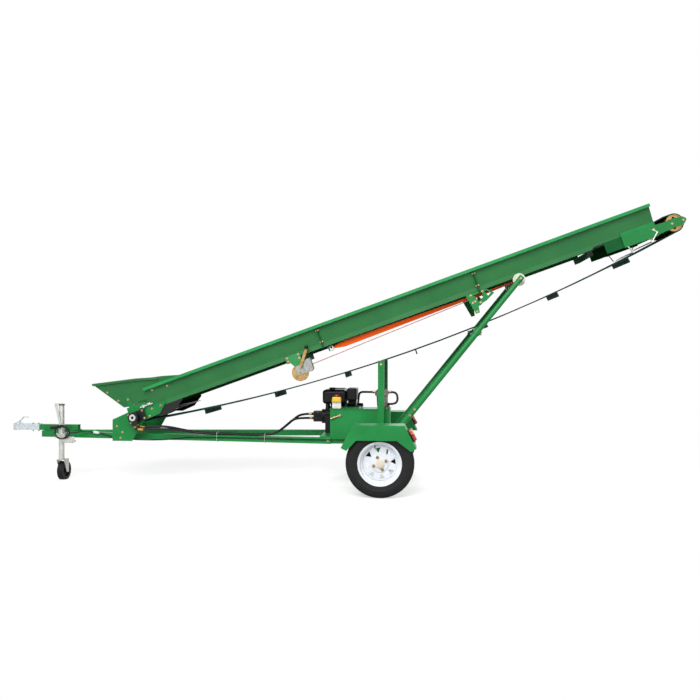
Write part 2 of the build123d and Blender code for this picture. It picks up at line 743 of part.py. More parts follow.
def return_filter():
    """A filter bowl under a round head with a port on each side."""
    base = TANK_LID_TOP
    shoulder = base + FILTER_H - FILTER_HEAD_R
    profile = [(0, base), (FILTER_R - 6, base), (FILTER_R, base + 20), (FILTER_R + 4, shoulder),
               (FILTER_HEAD_R, shoulder + 6), (FILTER_HEAD_R, shoulder + 30), (FILTER_R, base + FILTER_H),
               (0, base + FILTER_H)]
    x, y = FILTER_AT
    z = base + FILTER_PORT_H
    ports = rod((x - FILTER_PORT_OUT, y, z), (x + FILTER_PORT_OUT, y, z), FILTER_PORT_R)
    return [fuse(turned_upright(profile, FILTER_AT), ports)]


def engine_block():
    """Crankcase on its base, with a finned cylinder that leans away from the tank."""
    case = block(CASE_X, CASE_Y, (BED_PLATE_TOP, CASE_TOP))
    edges = case.edges().filter_by(Axis.X)
    case = case.chamfer(SADDLE_W, None, [e for e in edges if e.center().Z > SHAFT_Z])
    mid_x = sum(CASE_X) / 2
    lean = Pos(mid_x, SHAFT_Y, SHAFT_Z) * Rot(-90 + CYLINDER_TILT, 0, 0)
    bare, finned = CYLINDER_W / 2, CYLINDER_W / 2 + FIN_OUT
    barrel = block((-bare, bare), (-bare, bare), (0, CYLINDER_LEN))
    fins = []
    start = CASE_Y[1] - SHAFT_Y
    pitch = (CYLINDER_LEN - start - FIN_T) / (FINS - 1)
    for i in range(FINS):
        z = start + i * pitch
        fins.append(block((-finned, finned), (-finned, finned), (z, z + FIN_T)))
    saddles = []
    for x in (FUEL_X[0] + FUEL_ROUND, CASE_X[1] - SADDLE_W):
        saddles.append(block((x, x + SADDLE_W), (FUEL_Y[0] + FUEL_ROUND, FUEL_Y[1] - FUEL_ROUND),
                             (CASE_TOP - SADDLE_W, FUEL_Z[0])))
    cylinder = lean * fuse(barrel, *fins)
    exhaust_y = sum(MUFFLER_Y) / 2
    exhaust = block((mid_x - SADDLE_W, mid_x + SADDLE_W), (exhaust_y - SADDLE_W, exhaust_y + SADDLE_W),
                    (SHAFT_Z + CYLINDER_W / 2, MUFFLER_Z[0]))
    room = block((CASE_X[0] - FIN_OUT, CASE_X[1] + FIN_OUT), (CASE_Y[0], FAR_OFF),
                 (BED_PLATE_TOP, MUFFLER_Z[0]))
    return [fuse(case, common(cylinder, room), exhaust, *saddles)]


def engine_shroud():
    """The fan housing with the slotted starter cover on its end."""
    start = CASE_X[1]
    face = start + SHROUD_LEN
    drum = rod((start, SHAFT_Y, SHAFT_Z), (face, SHAFT_Y, SHAFT_Z), SHROUD_R)
    cover = rod((face, SHAFT_Y, SHAFT_Z), (face + STARTER_LEN, SHAFT_Y, SHAFT_Z), STARTER_R)
    for i in range(STARTER_SLOTS):
        slot = block((face + STARTER_LEN / 2, face + STARTER_LEN),
                     (STARTER_R * 0.45, STARTER_R * 0.85), (-FIN_T, FIN_T))
        cover = cover.cut(Pos(0, SHAFT_Y, SHAFT_Z) * Rot(360 * i / STARTER_SLOTS, 0, 0) * slot)
    seat = block((start, CLEANER_X[1] - CLEANER_ROUND),
                 (SHAFT_Y - STARTER_R / 2, SHAFT_Y + STARTER_R / 2), (SHAFT_Z, CLEANER_Z[0]))
    return [fuse(drum, cover, seat)]


def engine_fuel_tank():
    tank = rounded(block(FUEL_X, FUEL_Y, FUEL_Z), FUEL_ROUND)
    x, y = sum(FUEL_X) / 2 - FUEL_CAP_R, sum(FUEL_Y) / 2
    return [fuse(tank, rod((x, y, FUEL_Z[1] - FUEL_ROUND), (x, y, FUEL_Z[1] + FUEL_CAP_H), FUEL_CAP_R))]


def engine_muffler():
    """The muffler under a slotted heat guard."""
    box = rounded(block(MUFFLER_X, MUFFLER_Y, MUFFLER_Z), MUFFLER_ROUND)
    pitch = (MUFFLER_X[1] - MUFFLER_X[0] - 2 * MUFFLER_ROUND) / GUARD_SLOTS
    for i in range(GUARD_SLOTS):
        x = MUFFLER_X[0] + MUFFLER_ROUND + (i + 0.25) * pitch
        box = box.cut(block((x, x + pitch / 2), (MUFFLER_Y[0] + MUFFLER_ROUND, MUFFLER_Y[1] - MUFFLER_ROUND),
                            (MUFFLER_Z[1] - FIN_T, MUFFLER_Z[1])))
    return [box]


def air_cleaner():
    """The cleaner's box on the fan housing."""
    return [rounded(block(CLEANER_X, CLEANER_Y, CLEANER_Z), CLEANER_ROUND)]


def hydraulic_pump():
    """A bell housing on the engine's drive end, the gear pump and its two ports."""
    start = CASE_X[0]
    end = start - BELL_LEN
    back = end - PUMP_LEN
    half = PUMP_SIZE / 2
    bell = rod((start, SHAFT_Y, SHAFT_Z), (end, SHAFT_Y, SHAFT_Z), BELL_R)
    body = block((back, end), (SHAFT_Y - half, SHAFT_Y + half), (SHAFT_Z - half, SHAFT_Z + half))
    ports = []
    for y, z in PUMP_PORTS:
        ports.append(rod((back, y, z), (back - PORT_OUT, y, z), PORT_R))
    return [fuse(bell, body, *ports)]


PUMP_PORTS = ((SHAFT_Y - 22.0, SHAFT_Z + 20.0), (SHAFT_Y + 22.0, SHAFT_Z - 20.0))
PUMP_BACK = CASE_X[0] - BELL_LEN - PUMP_LEN - PORT_OUT


def pivot_beam():
    """A tube across the drawbar rails."""
    end = LUG_Y + LUG_T
    z = RAIL_TOP + TUBE / 2
    return [square_tube((STAND_X, -end, z), (STAND_X, end, z), TUBE, TUBE_WALL)]


def pivot_lugs():
    """Plates on the beam's ends, each with a bore for the boom's pivot bush."""
    sides = (-LUG_Y - LUG_T, -LUG_Y)
    shoulder = TAIL_Z - LUG_R / 3
    outline = [(STAND_X - LUG_FRONT, RAIL_Z), (STAND_X + LUG_BACK, RAIL_Z), (TAIL_X + LUG_R, shoulder),
               (TAIL_X, TAIL_Z + LUG_R), (STAND_X - LUG_FRONT, shoulder)]
    lug = outline_xz(outline, *sides).fuse(cross_rod(TAIL_X, TAIL_Z, *sides, LUG_R))
    lug = lug.cut(cross_rod(TAIL_X, TAIL_Z, *sides, BUSH_R + RUNNING_GAP))
    return both(lug.cut(block((STAND_X - TUBE / 2, STAND_X + TUBE / 2), sides, (RAIL_TOP, RAIL_TOP + TUBE))))


def jockey_tube():
    bore = JOCKEY_TUBE_R - JOCKEY_TUBE_WALL
    return [pipe((JOCKEY_X, JOCKEY_Y, JOCKEY_BOTTOM), (JOCKEY_X, JOCKEY_Y, JOCKEY_TOP), JOCKEY_TUBE_R, bore)]


def jockey_clamp():
    """A clamp block between the near rail's side and the tube."""
    face = -rail_y(JOCKEY_X) - RAIL_HALF_Y
    turn = RAIL_SLOPE * CLAMP_HALF
    outer = CRANK_Y
    clamp = outline_xy([(JOCKEY_X - CLAMP_HALF, outer), (JOCKEY_X + CLAMP_HALF, outer),
                        (JOCKEY_X + CLAMP_HALF, face - turn), (JOCKEY_X - CLAMP_HALF, face + turn)],
                       RAIL_Z + PLATE, RAIL_TOP - PLATE)
    return [clamp.cut(rod((JOCKEY_X, JOCKEY_Y, RAIL_Z), (JOCKEY_X, JOCKEY_Y, RAIL_TOP), JOCKEY_TUBE_R))]


def jockey_crank():
    """The cap on the tube, with the crank folded down beside the tube and its grip."""
    x, y, z = JOCKEY_X, JOCKEY_Y, JOCKEY_TOP + JOCKEY_CAP
    cap = rod((x, y, JOCKEY_TOP), (x, y, z), JOCKEY_TUBE_R + 2)
    neck = block((x - 50, x + 12), (CRANK_Y, y), (z, z + PLATE))
    bar = outline_xz([(x - 50, z + PLATE), (x - 28, z + PLATE), (x + 20, GRIP_Z + 4), (x, GRIP_Z - 4)],
                     CRANK_Y, CRANK_Y + PLATE)
    grip = rod((x + 12, GRIP_Y, GRIP_Z + 5), (x - 76, GRIP_Y, GRIP_Z - 5), GRIP_R)
    return [fuse(cap, neck, bar, grip)]


def jockey_leg():
    """The inner tube, with a foot collar in which the fork's kingpin turns."""
    radius = JOCKEY_TUBE_R - JOCKEY_TUBE_WALL - RUNNING_GAP
    at = (JOCKEY_X, JOCKEY_Y)
    foot = FORK_TOP + 1
    inner = rod((*at, foot), (*at, JOCKEY_TOP - 40), radius)
    bore = rod((*at, JOCKEY_BOTTOM + JOCKEY_CAP), (*at, JOCKEY_TOP - 40), radius - 2 * JOCKEY_TUBE_WALL)
    collar = rod((*at, foot), (*at, JOCKEY_BOTTOM - 3), JOCKEY_TUBE_R + 2)
    pin_hole = rod((*at, foot), (*at, JOCKEY_BOTTOM - 1), KINGPIN_R + RUNNING_GAP)
    return [fuse(inner, collar).cut(bore).cut(pin_hole)]


def jockey_fork():
    """A bent fork with its kingpin and the wheel's pin."""
    wheel_y = JOCKEY_Y + JOCKEY_TRAIL
    half = JOCKEY_WHEEL_W / 2 + FORK_GAP + FORK_SHEET
    y0, y1 = JOCKEY_Y - JOCKEY_TUBE_R, wheel_y + 18
    fork = block((JOCKEY_X - half, JOCKEY_X + half), (y0, y1), (FORK_TOP - FORK_SHEET, FORK_TOP))
    low = JOCKEY_WHEEL_R - 2 * JOCKEY_PIN_R
    for x in (JOCKEY_X - half, JOCKEY_X + half - FORK_SHEET):
        cheek = [(y0, FORK_TOP), (y1, FORK_TOP), (wheel_y + 16, low), (wheel_y - 16, low)]
        fork = fork.fuse(outline_yz(cheek, x, x + FORK_SHEET))
    axle_z = JOCKEY_WHEEL_R
    pin = rod((JOCKEY_X - half, wheel_y, axle_z), (JOCKEY_X + half, wheel_y, axle_z), JOCKEY_PIN_R)
    at = (JOCKEY_X, JOCKEY_Y)
    kingpin = rod((*at, FORK_TOP - FORK_SHEET), (*at, JOCKEY_BOTTOM - 2), KINGPIN_R)
    return [fuse(fork, pin, kingpin)]


def jockey_wheel():
    """A solid tyre with a recessed web on each side."""
    y = JOCKEY_Y + JOCKEY_TRAIL
    half = JOCKEY_WHEEL_W / 2
    ends = (JOCKEY_X - half, y, JOCKEY_WHEEL_R), (JOCKEY_X + half, y, JOCKEY_WHEEL_R)
    wheel = rod(*ends, JOCKEY_WHEEL_R)
    for x0, x1 in ((JOCKEY_X - half, JOCKEY_X - half / 3), (JOCKEY_X + half / 3, JOCKEY_X + half)):
        middles = (x0, y, JOCKEY_WHEEL_R), (x1, y, JOCKEY_WHEEL_R)
        wheel = wheel.cut(pipe(*middles, JOCKEY_WHEEL_R * 0.68, 3 * JOCKEY_PIN_R))
    return [wheel.cut(rod(*ends, JOCKEY_PIN_R + RUNNING_GAP))]


def trough_sides():
    """Folded side walls in four bolted lengths, open at the joints by a hair."""
    lip = [(TROUGH_TOP_Y, TROUGH_TOP), (TROUGH_TOP_Y + LIP_OUT, TROUGH_TOP),
           (TROUGH_TOP_Y + LIP_OUT, TROUGH_TOP - LIP_DROP)]
    walls = []
    # columns: start, end, height of the foot flange
    lengths = ((TROUGH_START, LOWER_JOINT, TROUGH_BOTTOM), (LOWER_JOINT, UPPER_JOINT, TROUGH_BOTTOM),
               (UPPER_JOINT, HEAD_JOINT, TROUGH_BOTTOM), (HEAD_JOINT, TROUGH_END, HEAD_FOOT))
    for start, end, foot in lengths:
        bend = [(TROUGH_Y - FOOT_FLANGE, foot), (TROUGH_Y, foot), (TROUGH_Y, TROUGH_BEND)] + lip
        walls += both(outline_yz(folded(bend, SHEET), start, end - JOINT_GAP))
    return walls


def trough_bed():
    inner = TROUGH_Y - SHEET
    return [block((TROUGH_START, TROUGH_END), (-inner, inner), (BED_TOP - SHEET, BED_TOP))]


def trough_brackets():
    """Splice flanges at the joints, cross members, head slide plates and the strap's eye."""
    top = TROUGH_TOP - LIP_DROP - JOINT_GAP
    edge = [(-TROUGH_Y, FLANGE_LOW), (-TROUGH_Y, TROUGH_BEND), (-flare_y(top), top)]
    outline = edge + [(y - FLANGE_OUT, v) for y, v in edge[::-1]]
    pieces = []
    for joint in (LOWER_JOINT, UPPER_JOINT):
        for start in (joint - JOINT_GAP - FLANGE_T, joint):
            pieces += both(outline_yz(outline, start, start + FLANGE_T))
    half = TROUGH_Y - CROSS_W / 4
    for u in CROSS_U:
        v = TROUGH_BOTTOM - CROSS_H / 2
        tube = block((u, u + CROSS_W), (-half, half), (TROUGH_BOTTOM - CROSS_H, TROUGH_BOTTOM))
        pieces.append(tube.cut(block((u + SHEET, u + CROSS_W - SHEET), (-half, half),
                                     (v - CROSS_H / 2 + SHEET, v + CROSS_H / 2 - SHEET))))
    slide = block((SLIDE_START, SLIDE_END), (-TROUGH_Y, -TROUGH_Y + SLIDE_T), (SLIDE_LOW, HEAD_FOOT))
    pieces += both(slide)
    eye = block((STRAP_EYE_U, STRAP_EYE_U + STRAP_EYE_T), (-TROUGH_Y + SHEET, STAY_Y + RING_R),
                (STRAP_EYE_V - RING_R, TROUGH_BOTTOM))
    ring_u = STRAP_EYE_U + STRAP_EYE_T + RING_R - RING_WIRE_R
    ring = Solid.make_torus(RING_R, RING_WIRE_R, Plane((ring_u, STAY_Y, STRAP_EYE_V), z_dir=(0, 1, 0)))
    pieces.append(fuse(eye, ring))
    return pieces


def return_v(u):
    """The sagging return run: a straight chord between the drums less a parabola."""
    share = u / BOOM_LEN
    chord = -TAIL_DRUM_R + (TAIL_DRUM_R - HEAD_DRUM_R) * share
    return chord - 4 * BELT_SAG * share * (1 - share)


def half_ring(u, radius, toward):
    """Belt wrapped half round a drum, on its outer end."""
    ring = pipe((u, -BELT_W / 2, 0), (u, BELT_W / 2, 0), radius + BELT_T, radius)
    reach = sorted((u, u + toward * (radius + 2 * BELT_T)))
    return common(ring, block(reach, (-BELT_W, BELT_W), (-FAR_OFF, FAR_OFF)))


def cleat(u, v, slope, toward):
    """A cleat across the belt, standing on its outer face."""
    heights = sorted((toward * BELT_T, toward * (BELT_T + CLEAT_H)))
    bar = block((-CLEAT_T / 2, CLEAT_T / 2), (-CLEAT_W / 2, CLEAT_W / 2), heights)
    return Pos(u, 0, v) * Rot(0, -slope, 0) * bar


def cleats_from(first):
    return [first + i * CLEAT_PITCH for i in range(int((BOOM_LEN - CLEAT_MARGIN - first) / CLEAT_PITCH) + 1)]


def belt_carrying_run():
    """The upper run on the bed, with the wrap round each drum."""
    lower = [(0, TAIL_DRUM_R), (TROUGH_START, BED_TOP), (TROUGH_END - 4 * BELT_T, BED_TOP),
             (BOOM_LEN - HEAD_DRUM_R, HEAD_DRUM_R), (BOOM_LEN, HEAD_DRUM_R)]
    upper = [(u, v + BELT_T) for u, v in lower]
    run = outline_xz(lower + upper[::-1], -BELT_W / 2, BELT_W / 2)
    bars = [cleat(u, BED_TOP, 0, 1) for u in cleats_from(FIRST_CLEAT) if u < TROUGH_END - 4 * BELT_T]
    return [fuse(run, half_ring(0, TAIL_DRUM_R, -1), half_ring(BOOM_LEN, HEAD_DRUM_R, 1)), *bars]


def belt_return_run():
    stations = [BOOM_LEN * i / RETURN_STEPS for i in range(RETURN_STEPS + 1)]
    line = [(u, return_v(u)) for u in stations]
    run = outline_xz(line + [(u, v - BELT_T) for u, v in line[::-1]], -BELT_W / 2, BELT_W / 2)
    bars = []
    for u in cleats_from(FIRST_RETURN_CLEAT):
        slope = math.degrees(math.atan2(return_v(u + BELT_T) - return_v(u - BELT_T), 2 * BELT_T))
        bars.append(cleat(u, return_v(u) + JOINT_GAP, slope, -1))
    return [fuse(run, *bars)]


def tail_drum():
    """A closed drum on the pivot shaft."""
    end = DRUM_W / 2
    shell = pipe((0, -end, 0), (0, end, 0), TAIL_DRUM_R - DRUM_GAP, TAIL_DRUM_R - DRUM_WALL)
    disc = cross_rod(0, 0, -end + DRUM_WALL, -end + 2 * DRUM_WALL, TAIL_DRUM_R - DRUM_WALL / 2)
    shaft = cross_rod(0, 0, -BUSH_OUT - MOTOR_SHAFT_IN, BUSH_OUT, TAIL_SHAFT_R)
    return [fuse(shell, disc, mirrored(disc), shaft)]


def head_drum():
    """An open drum: each end disc has a ring of round holes."""
    end = DRUM_W / 2
    shell = pipe((BOOM_LEN, -end, 0), (BOOM_LEN, end, 0), HEAD_DRUM_R - DRUM_GAP, HEAD_DRUM_R - DRUM_WALL)
    disc = cross_rod(BOOM_LEN, 0, -end + DRUM_WALL, -end + 2 * DRUM_WALL, HEAD_DRUM_R - DRUM_WALL / 2)
    for i in range(DRUM_HOLES):
        angle = 2 * math.pi * (i + 1 / 3) / DRUM_HOLES
        u, v = BOOM_LEN + DRUM_HOLE_CIRCLE * math.cos(angle), DRUM_HOLE_CIRCLE * math.sin(angle)
        disc = disc.cut(cross_rod(u, v, -end, end, DRUM_HOLE_R))
    reach = ARM_OUT - ARM_T - DRUM_GAP
    return [fuse(shell, disc, mirrored(disc), cross_rod(BOOM_LEN, 0, -reach, reach, HEAD_SHAFT_R))]


def tail_plates():
    """Side plates with the pivot bush, and the strap that holds the hopper; the far bush is closed."""
    outline = [(-60, TAIL_PLATE_LOW), (90, TAIL_PLATE_LOW), (200, TAIL_PLATE_LOW + 8),
               (TAIL_PLATE_END, 30), (TAIL_PLATE_END, TROUGH_BEND), (TROUGH_START, TROUGH_BEND),
               (TROUGH_START - 50, TAIL_PLATE_TOP), (-60, TAIL_PLATE_TOP)]
    plate = outline_xz(outline, -TAIL_PLATE_OUT, -TROUGH_Y)
    bush = cross_rod(0, 0, -BUSH_OUT, -TAIL_PLATE_OUT, BUSH_R)
    bend_v = TROUGH_BEND + (TAIL_PLATE_OUT - WING_Y) / FLARE
    line = [(-TAIL_PLATE_OUT, BUSH_R + STRAP_T), (-TAIL_PLATE_OUT, bend_v), (-wing_y(STRAP_TOP), STRAP_TOP)]
    strap = outline_yz(folded(line, STRAP_T), *STRAP_U)
    near = fuse(plate, bush, strap).cut(cross_rod(0, 0, -BUSH_OUT, -TROUGH_Y, TAIL_SHAFT_R))
    cover = cross_rod(0, 0, BUSH_OUT, BUSH_OUT + MOTOR_FLANGE_T, BUSH_R + STRAP_T)
    return [near, fuse(mirrored(near), cover)]


def take_up():
    """A threaded take-up rod with its nut, in a lug on each tail plate."""
    y = -TAIL_PLATE_OUT - TAKE_UP_LUG / 2
    screw = rod((TAKE_UP_U[0], y, TAKE_UP_V), (TAKE_UP_U[1], y, TAKE_UP_V), TAKE_UP_R)
    lug_u = TAKE_UP_U[0] + TAKE_UP_LUG
    lug = block((lug_u, lug_u + TAKE_UP_LUG / 2), (-TAIL_PLATE_OUT - TAKE_UP_LUG, -TAIL_PLATE_OUT),
                (TAKE_UP_V - TAKE_UP_LUG / 2, TAKE_UP_V + TAKE_UP_LUG / 2))
    nut_u = lug_u + TAKE_UP_LUG / 2
    nut = rod((nut_u, y, TAKE_UP_V), (nut_u + TAKE_UP_LUG / 2, y, TAKE_UP_V), NUT_R)
    return both(fuse(screw, lug, nut))


def belt_guides():
    """Bent rods from arm to arm that keep the return run down at the head."""
    rods = []
    y = ARM_OUT + GUIDE_R
    # columns: u and v of the rod's top on the arm, its elbow and its crossing above the belt
    bends = (((-192, 6), (-158, -25), (-223, -83)), ((-409, -55), (-400, -80), (-390, -112)))
    for top, elbow, cross in bends:
        points = [(BOOM_LEN + u, -y, v) for u, v in (top, elbow, cross)]
        middle = (BOOM_LEN + cross[0], 0, cross[1])
        half = [rod(a, b, GUIDE_R) for a, b in zip(points, points[1:] + [middle])]
        balls = [Pos(*p) * Solid.make_sphere(GUIDE_R) for p in points[1:]]
        side = fuse(*half, *balls)
        rods.append(fuse(side, mirrored(side)))
    return rods


def belt_rods():
    return take_up() + belt_guides()


def tail_tray():
    """A tray between the runs at the tail, its side skirts hung inside the tail plates."""
    start, end = TRAY_U
    skirt = [(start, TRAY_FLOOR), (start + 90, TRAY_LOW), (end - 90, TRAY_LOW + 10), (end, TRAY_FLOOR + 40),
             (end, TROUGH_BOTTOM), (TROUGH_START, TROUGH_BOTTOM)]
    side = outline_xz(skirt, -TROUGH_Y, -TROUGH_Y + TRAY_T)
    floor = block((start + TRAY_T, end - 20), (-TROUGH_Y, TROUGH_Y), (TRAY_FLOOR, TRAY_FLOOR + TRAY_T))
    return [fuse(floor, side, mirrored(side))]


def drive_motor():
    """An orbital motor on its flange, with a ring round its end cover and two hose fittings."""
    face = BUSH_OUT + MOTOR_FLANGE_T
    end = face + MOTOR_LEN
    flange = block(MOTOR_FLANGE, (-face, -BUSH_OUT), (-MOTOR_HALF, MOTOR_HALF))
    body = cross_rod(0, 0, -end, -face, MOTOR_R)
    ring = pipe((0, -end - MOTOR_RING_T, 0), (0, -end, 0), MOTOR_RING_R, MOTOR_RING_BORE)
    ports = block((-MOTOR_BLOCK_W / 2, MOTOR_BLOCK_W / 2), (-end, -face), (MOTOR_BLOCK_LOW, 0))
    fittings = []
    for (u, v), (end_u, end_v), y in MOTOR_FITTINGS:
        elbow = (u, y, v)
        fittings += [rod((u, y, MOTOR_BLOCK_LOW + FITTING_R), elbow, FITTING_R),
                     Pos(*elbow) * Solid.make_sphere(FITTING_R), rod(elbow, (end_u, y, end_v), FITTING_R)]
    bore = cross_rod(0, 0, -BUSH_OUT - MOTOR_SHAFT_IN, -BUSH_OUT, TAIL_SHAFT_R + DRUM_GAP)
    return [fuse(flange, body, ring, ports, *fittings).cut(bore)]


# Hose fittings under the motor: elbow (u, v), end (u, v), y
MOTOR_FITTINGS = (
    ((8.0, -88.0), (56.0, -104.0), -BUSH_OUT - 32.0),
    ((-12.0, -100.0), (46.0, -121.0), -BUSH_OUT - 56.0),
)


def head_arms():
    """Bent channel arms that slide on the trough, with a flange bearing inside each tip."""
    inner = -ARM_OUT + ARM_T
    bend = [(-TROUGH_Y, ARM_LOW), (inner, ARM_LOW), (inner, ARM_TOP),
            (-flare_y(ARM_FLANGE_TOP), ARM_FLANGE_TOP)]
    channel = outline_yz(folded(bend, ARM_T), ARM_START, TROUGH_END - JOINT_GAP)
    nose_u = ARM_TIP - TIP_ROUND
    side_top = ARM_TOP - ARM_T
    tip = outline_xz([(ARM_START, ARM_LOW), (ARM_STEP, ARM_LOW), (nose_u, TIP_LOW),
                      (ARM_TIP, TIP_LOW + TIP_ROUND), (ARM_TIP, TIP_TOP - TIP_ROUND), (nose_u, TIP_TOP),
                      (ARM_STEP, side_top), (ARM_START, side_top)],
                     -ARM_OUT, inner)
    bearing = cross_rod(BOOM_LEN, 0, inner, inner + BEARING_T, BEARING_R)
    bore = cross_rod(BOOM_LEN, 0, inner, inner + BEARING_T, HEAD_SHAFT_R)
    return both(fuse(channel, tip, bearing).cut(bore))


FLARE_COS = 1 / math.hypot(1, FLARE)
WING_Y = TROUGH_Y - SHEET / FLARE_COS


def wing_y(v):
    """How far out the trough wall's inner face stands at a height in the flare."""
    return WING_Y + (v - TROUGH_BEND) * FLARE


def flared_plate(points, inner, outer):
    """A plate along the near flared wall, outline (u, v), between two depths out of its inner face."""
    out = Vector(0, -FLARE_COS, -FLARE * FLARE_COS)
    face = Face(Wire.make_polygon([Vector(u, -wing_y(v), v) for u, v in points], close=True))
    return Solid.extrude(face.translate(out * inner), out * (outer - inner))


def hopper_front():
    """The sloping front of the hopper, from wing to wing."""
    (tip_u, tip_v), (low_u, low_v) = HOPPER_TIP, HOPPER_LOW
    run = math.hypot(low_u - tip_u, low_v - tip_v)
    out = (SHEET * (low_v - tip_v) / run, 0, -SHEET * (low_u - tip_u) / run)
    corners = [(tip_u, -wing_y(tip_v), tip_v), (low_u, -wing_y(low_v), low_v),
               (low_u, wing_y(low_v), low_v), (tip_u, wing_y(tip_v), tip_v)]
    return [prism(corners, out)]


def hopper_wings():
    """Wings that lie inside the flared walls and rise above them, with a bent lip along the top."""
    tip, knee, join = HOPPER_TIP, HOPPER_KNEE, HOPPER_JOIN
    share = (HOPPER_LIP_END - knee[0]) / (join[0] - knee[0])
    lip_end = (HOPPER_LIP_END, knee[1] + share * (join[1] - knee[1]))
    top = [tip, knee, lip_end]
    plate = flared_plate([tip, knee, join, HOPPER_FOOT, HOPPER_LOW], -SHEET, 0)
    lip = flared_plate(top + [(u, v - HOPPER_LIP_H) for u, v in top[::-1]], 0, HOPPER_LIP_OUT)
    return both(fuse(plate, lip).cut(hopper_front()[0]))


def winch_bracket():
    """The hanger plate on the trough's wall and the winch frame that it carries."""
    u0, u1 = WINCH_U - 79, WINCH_U + 49
    shelf = TROUGH_BOTTOM - CROSS_H
    hanger = outline_xz([(u0, HANGER_TOP), (u1, HANGER_TOP), (u1, shelf), (WINCH_U + 27, shelf - 27),
                         (WINCH_U - 27, shelf - 27), (WINCH_U - 51, -16), (u0, -16)],
                        -TROUGH_Y - HANGER_T, -TROUGH_Y)
    span = (WINCH_U - 26, WINCH_U + 115)
    base = block(span, (-TROUGH_Y, -WINCH_IN), (shelf - WINCH_SHEET, shelf))
    cheek = outline_xz([(span[0], shelf), (span[1], shelf), (span[1], WINCH_V - 4),
                        (span[1] - 20, WINCH_V - 18), (span[0], WINCH_V - 18)],
                       -TROUGH_Y, -TROUGH_Y + WINCH_SHEET)
    inner = cheek.translate(Vector(0, TROUGH_Y - WINCH_IN - WINCH_SHEET, 0))
    bore = cross_rod(WINCH_U, WINCH_V, -TROUGH_Y - HANGER_T, 0, WINCH_SHAFT_R + SEAT_GAP)
    return [fuse(hanger, base, cheek, inner).cut(bore)]


def winch_drum():
    """The rope drum between the frame's cheeks, with its large gear on the near side."""
    near = -TROUGH_Y + WINCH_SHEET
    far = -WINCH_IN - WINCH_SHEET
    gear_y = near + 2 + WINCH_GEAR_T
    shaft = cross_rod(WINCH_U, WINCH_V, -TROUGH_Y - HANGER_T, far + 2 * WINCH_SHEET, WINCH_SHAFT_R)
    gear = cross_rod(WINCH_U, WINCH_V, gear_y - WINCH_GEAR_T, gear_y, WINCH_GEAR_R)
    drum = cross_rod(WINCH_U, WINCH_V, gear_y, far - 2, WINCH_DRUM_R)
    flange = cross_rod(WINCH_U, WINCH_V, far - 2 - WINCH_SHEET, far - 2, WINCH_CHEEK_R)
    return [fuse(shaft, gear, drum, flange)]


def winch_crank():
    """A crank on the pinion shaft, a flat bar and a ball knob."""
    u0, v0 = WINCH_U + CRANK_AT[0], WINCH_V + CRANK_AT[1]
    u1, v1 = WINCH_U + CRANK_TO[0], WINCH_V + CRANK_TO[1]
    length = math.hypot(u1 - u0, v1 - v0)
    du, dv = (v0 - v1) / length * CRANK_BAR / 2, (u1 - u0) / length * CRANK_BAR / 2
    bar = outline_xz([(u0 + du, v0 + dv), (u0 - du, v0 - dv), (u1 - du, v1 - dv), (u1 + du, v1 + dv)],
                     -CRANK_OUT, -CRANK_OUT + CRANK_BAR_T)
    hub = cross_rod(u0, v0, -CRANK_OUT, -TROUGH_Y - SEAT_GAP, CRANK_R)
    stem = cross_rod(u1, v1, -CRANK_OUT - 2 * KNOB_R, -CRANK_OUT, CRANK_R)
    knob = Pos(u1, -CRANK_OUT - 2 * KNOB_R, v1) * Solid.make_sphere(KNOB_R)
    return [fuse(bar, hub, stem, knob)]


def strut_stops():
    """Forked plates under the trough that end the rollers' travel, with two windows each."""
    end = ROLLER_U - ROLLER_TRAVEL
    outline = [(end - 240, TROUGH_BOTTOM), (end - 66, TROUGH_BOTTOM), (end - 14, -37), (end - 95, -77),
               (end - 168, -92), (end - 178, -150), (end - 210, -150), (end - 226, -60)]
    plate = outline_xz(outline, -STOP_Y - STOP_T, -STOP_Y)
    windows = ([(end - 180, 0), (end - 106, 0), (end - 112, -40), (end - 156, -62)],
               [(end - 88, 2), (end - 66, 2), (end - 42, -28), (end - 70, -44)])
    for window in windows:
        plate = plate.cut(outline_xz(window, -STOP_Y - STOP_T, -STOP_Y))
    return both(plate)


def winch_rope():
    """The taut rope from the winch drum to the roller axle."""
    start = (WINCH_U + ROPE_START[0], ROPE_Y, WINCH_V + ROPE_START[1])
    return [rod(start, (ROLLER_U - ROLLER_AXLE_R - SEAT_GAP, ROPE_Y, ROLLER_V), ROPE_R)]


def stay_strap():
    """Webbing on edge: gathered at the eye's ring, then wide, then drawn in toward the axle."""
    start = STRAP_EYE_U + STRAP_EYE_T + 2 * RING_R + SEAT_GAP
    # columns: u, middle of the width, half width
    stations = ((start, STRAP_EYE_V, STAY_END_W / 2),
                (start + STAY_NECK, STRAP_EYE_V - STAY_DIP, STAY_W / 2),
                (ROLLER_U - ROLLER_AXLE_R - SEAT_GAP, ROLLER_V, STAY_END_W / 2))
    outline = [(u, v - half) for u, v, half in stations] + [(u, v + half) for u, v, half in stations[::-1]]
    return [outline_xz(outline, STAY_Y - STAY_T / 2, STAY_Y + STAY_T / 2)]


STRUT_TOP = (BOOM * Pos(ROLLER_U, 0, ROLLER_V)).position
STRUT_RISE = Vector(STRUT_TOP.X - STRUT_FOOT_X, 0, STRUT_TOP.Z - STRUT_FOOT_Z).normalized()


def strut_point(distance, y):
    """A point on a strut leg's centre line, from its foot."""
    return STRUT_FOOT_X + STRUT_RISE.X * distance, y, STRUT_FOOT_Z + STRUT_RISE.Z * distance


STRUT_LEN = math.hypot(STRUT_TOP.X - STRUT_FOOT_X, STRUT_TOP.Z - STRUT_FOOT_Z)


